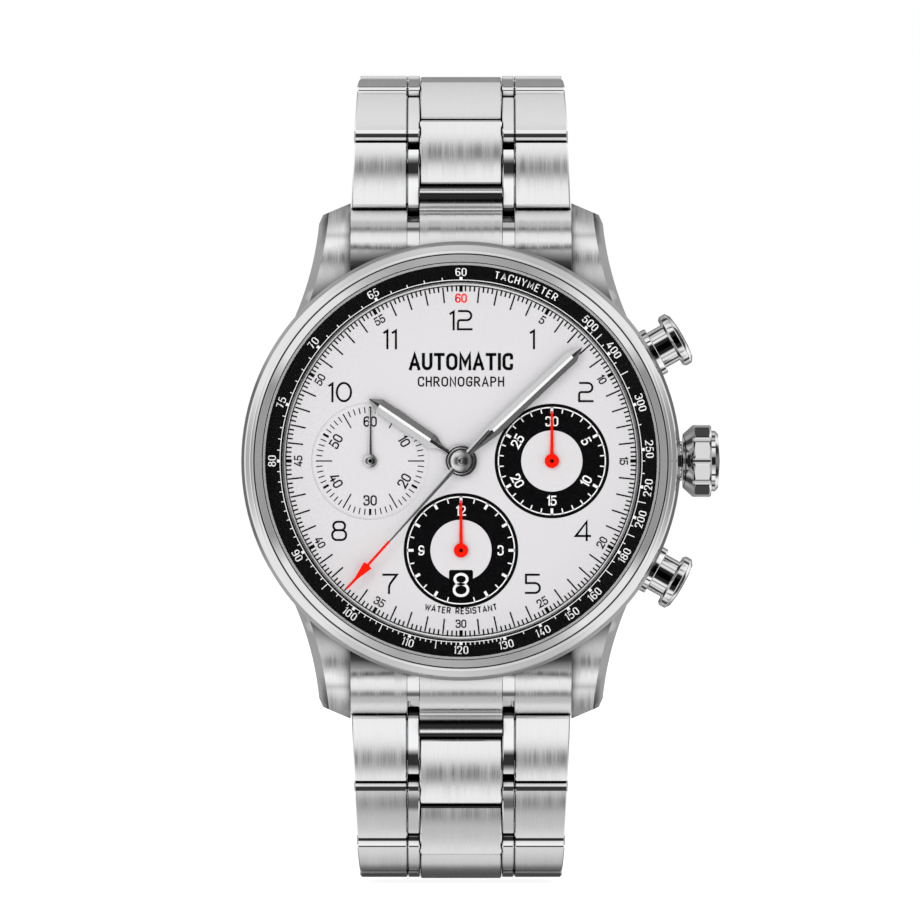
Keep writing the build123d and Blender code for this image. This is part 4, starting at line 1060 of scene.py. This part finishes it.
def make_bracelet_side(name, start, turns, sign):
    """Links of one side of the bracelet, sign 1 above the case and -1 below it."""
    y, z = start
    for index, turn in enumerate(turns):
        tip = Matrix.Rotation(radians(90 - sign * turn), 4, "X")
        place = Matrix.Scale(MM, 4) @ Matrix.Translation((0, y, z)) @ tip
        if sign < 0:
            place = place @ Matrix.Rotation(pi, 4, "Z")
        half = WIDTH_AT_CASE / 2 - TAPER * index
        socket = sign > 0 or index < len(turns) - 1
        link_piece(f"{name}_{index + 1}", place, half, half - TAPER, socket)
        y += PITCH * sin(radians(turn))
        z += sign * PITCH * cos(radians(turn))


# ---- carried-over nodes ----
def dress_cad_nodes():
    """Give every CAD node that is kept as it is its finish."""
    finishes = (
        (DIAL_WHITE, "dial"), (CLEAR_GASKET, "crystal_gasket"), (RUBY, "jewels"), (POLISHED, "spring_bars"),
        (SAPPHIRE, "case_back_window"), (RUBBER, "case_back_gasket"), (BLUED, "movement_screws"),
        (NICKEL, "movement_ring main_plate bridges rotor"),
        (SPRING, "hairspring pusher_springs pallet_fork escape_wheel stem winding_pinion"),
        (BRASS, "balance_wheel fourth_wheel third_wheel centre_wheel barrel"),
    )
    for material, names in finishes:
        for name in names.split():
            materials = frame["nodes"][name].data.materials
            materials.clear()
            materials.append(material)


def case_polished(normal, middle):
    """Flanks and bevels of the case are polished, the tops of the lugs are brushed."""
    return abs(normal.x) > 0.3 or hypot(middle.x, middle.z) < CASE_R or normal.y > 0.9


def strip_polished(normal, middle):
    """The narrow strips of an end link are polished."""
    return CENTRE_W / 2 < abs(middle.x) < CENTRE_W / 2 + STRIP_W + 2 * BAND_GAP


def make_refined_nodes():
    refined("case_middle", CASE_BRUSHED, case_polished, CASE_POLISHED)
    refined("end_link_12", END_BRUSHED, strip_polished)
    refined("end_link_6", END_BRUSHED, strip_polished)
    refined("case_back", TURNED)
    for name in ("clasp_outer_blade", "clasp_inner_blade", "clasp_cover"):
        refined(name, BRUSHED)
    for name in ("crown", "clasp_button_left", "clasp_button_right"):
        refined(name, CROWN_STEEL)


# ---- stage ----
STUDIO_STRENGTH = 1.18
DIFFUSE_LEVEL = 0.72
PLAIN_GREY = 0.95
# Brightness seen in a mirror by the pitch of the view: 0 towards the camera, 90 up or down, 180 behind.
STUDIO_BANDS = (
    (13, 0.04), (17, 0.85), (49, 0.95), (51.5, 0.03), (57, 0.03), (60, 0.95), (76, 0.85), (82, 0.12),
    (86, 0.12), (88, 0.5), (98, 0.5), (103, 0.78), (128, 0.66), (145, 0.3), (180, 0.22),
)
# The same from left (-1) to right (1).
SIDE_BANDS = (
    (-1, 0.42), (-0.93, 0.38), (-0.86, 1.0), (-0.6, 1.0), (-0.45, 0.8), (-0.15, 1.0), (0.0, 0.95),
    (0.2, 0.85), (0.45, 0.75), (0.6, 1.0), (0.82, 1.0), (0.9, 0.35), (1, 0.4),
)
# Share of a plain grey instead of the bands, from left to right.
SIDE_PLAIN = ((-1, 1), (-0.6, 0.9), (-0.3, 0), (0.3, 0), (0.6, 0.9), (1, 1))
FLOOR_HALF = 3.0
FLOOR_GAP = 0.0003
FLOOR_TONES = (0.52, 0.55)
FLOOR_GLOW = 0.92
WHITE = (1, 1, 1, 1)


def spread(stops, reach):
    """Stops placed from -reach to reach, moved to the ramp's 0 to 1."""
    return [((place + reach) / (2 * reach), value) for place, value in stops]


def make_world():
    """Plain white studio for the camera. Shiny surfaces see soft bands: bright boxes and dark gaps."""
    world = bpy.data.worlds.new("studio")
    bpy.context.scene.world = world
    world.use_nodes = True
    tree = world.node_tree
    tree.nodes.clear()
    direction = node(tree, "TexCoord").outputs["Generated"]
    parts = node(tree, "SeparateXYZ", Vector=direction)
    front = math(tree, "MULTIPLY", parts.outputs["Y"], -1.0)
    pitch = math(tree, "ARCTAN2", parts.outputs["Z"], front)
    all_bands = [(-angle, value) for angle, value in reversed(STUDIO_BANDS)] + list(STUDIO_BANDS)
    bands = ramp(tree, share_between(tree, pitch, -pi, pi), *spread(all_bands, 180))
    side = share_between(tree, parts.outputs["X"], -1.0, 1.0)
    blended = node(tree, "MapRange", Value=ramp(tree, side, *spread(SIDE_PLAIN, 1)), To_Min=bands,
                   To_Max=PLAIN_GREY)
    seen = product(tree, blended.outputs[0], ramp(tree, side, *spread(SIDE_BANDS, 1)))
    shiny = node(tree, "Background", Color=seen, Strength=STUDIO_STRENGTH)
    path = node(tree, "LightPath")
    level = node(tree, "MapRange", Value=path.outputs["Is Diffuse Ray"], To_Min=1.0,
                 To_Max=DIFFUSE_LEVEL)
    plain = node(tree, "Background", Color=WHITE, Strength=level.outputs[0])
    mixed = node(tree, "MixShader", Fac=path.outputs["Is Glossy Ray"], i1=plain.outputs[0],
                 i2=shiny.outputs[0])
    node(tree, "OutputWorld", Surface=mixed.outputs[0])
    world.cycles.sampling_method = "NONE"


def make_stage():
    """Pale floor under the bracelet's lowest point."""
    height = cad_box[0][2] - FLOOR_GAP
    bm = bmesh.new()
    corners = ((-1, -1), (1, -1), (1, 1), (-1, 1))
    bm.faces.new([bm.verts.new((x * FLOOR_HALF, y * FLOOR_HALF, height)) for x, y in corners])
    floor = add_object("floor", as_mesh(bm, "floor"))
    material, tree, shader, coordinates = new_material("studio_floor")
    cloud = scaled_noise(tree, coordinates, (6,) * 3)
    tone = ramp(tree, cloud, (0.3, FLOOR_TONES[0]), (0.7, FLOOR_TONES[1]))
    plug(tree, shader, Base_Color=tone, Roughness=0.9, Specular_IOR_Level=0.0, Emission_Color=WHITE,
         Emission_Strength=FLOOR_GLOW)
    floor.data.materials.append(material)
    floor.visible_glossy = False


def make_lights():
    """One large soft box up to the left of the camera, for the soft shadows on the dial."""
    lamp = bpy.data.lights.new("key_box", "AREA")
    lamp.shape = "RECTANGLE"
    lamp.size = 0.35
    lamp.size_y = 0.35
    lamp.energy = 1.3
    box = add_object("key_box", lamp)
    box.location = (-0.35, -0.55, 0.45)
    box.rotation_euler = (-box.location).to_track_quat("-Z", "Y").to_euler()
    box.visible_glossy = False


def make_camera():
    """Straight on to the dial from one metre."""
    distance = 1.0
    view_width = 0.092
    bezel_plane = 0.013
    aim = (-0.0001, 0.0001)
    data = bpy.data.cameras.new("camera")
    data.sensor_width = 36
    data.lens = data.sensor_width * distance / view_width
    data.clip_start = 0.05
    camera = add_object("camera", data)
    camera.location = (aim[0], -distance - bezel_plane, aim[1])
    camera.rotation_euler = (radians(90), 0, 0)
    bpy.context.scene.camera = camera


# ---- build ----
make_camera()
make_world()
make_lights()
make_stage()
bpy.context.scene.view_settings.view_transform = "Standard"

print_minute_track()
print_hours()
print_words()
print_seconds_counter()
print_counter("minute_counter", MINUTES_AT, 30, 5, ("30", "5", "10", "15", "20", "25"))
print_counter("hour_counter", HOURS_AT, 24, 2, ("12", "3", "", "9"), windowed=True)
print_date()
print_tachymeter()

make_main_hands()
make_chrono_hand()
make_counter_hand("running_seconds_hand", "running_seconds", SECONDS_AT, 5.3, 0.68, HAND_LIGHT,
                  11.52)
for hand_name, hand_at in (("minute_counter_hand", MINUTES_AT), ("hour_counter_hand", HOURS_AT)):
    make_counter_hand(hand_name, hand_name, hand_at, 5.0, 0.72, RED_INK, 9.1)

make_bezel()
make_crystal()
make_tachymeter_ring()
make_pusher("pusher_upper", PUSHER_ANGLE)
make_pusher("pusher_lower", -PUSHER_ANGLE)
make_tubes()
make_bracelet_side("link_12", UPPER_START, UPPER_TURNS, 1)
make_bracelet_side("link_6", LOWER_START, LOWER_TURNS, -1)
make_refined_nodes()
dress_cad_nodes()
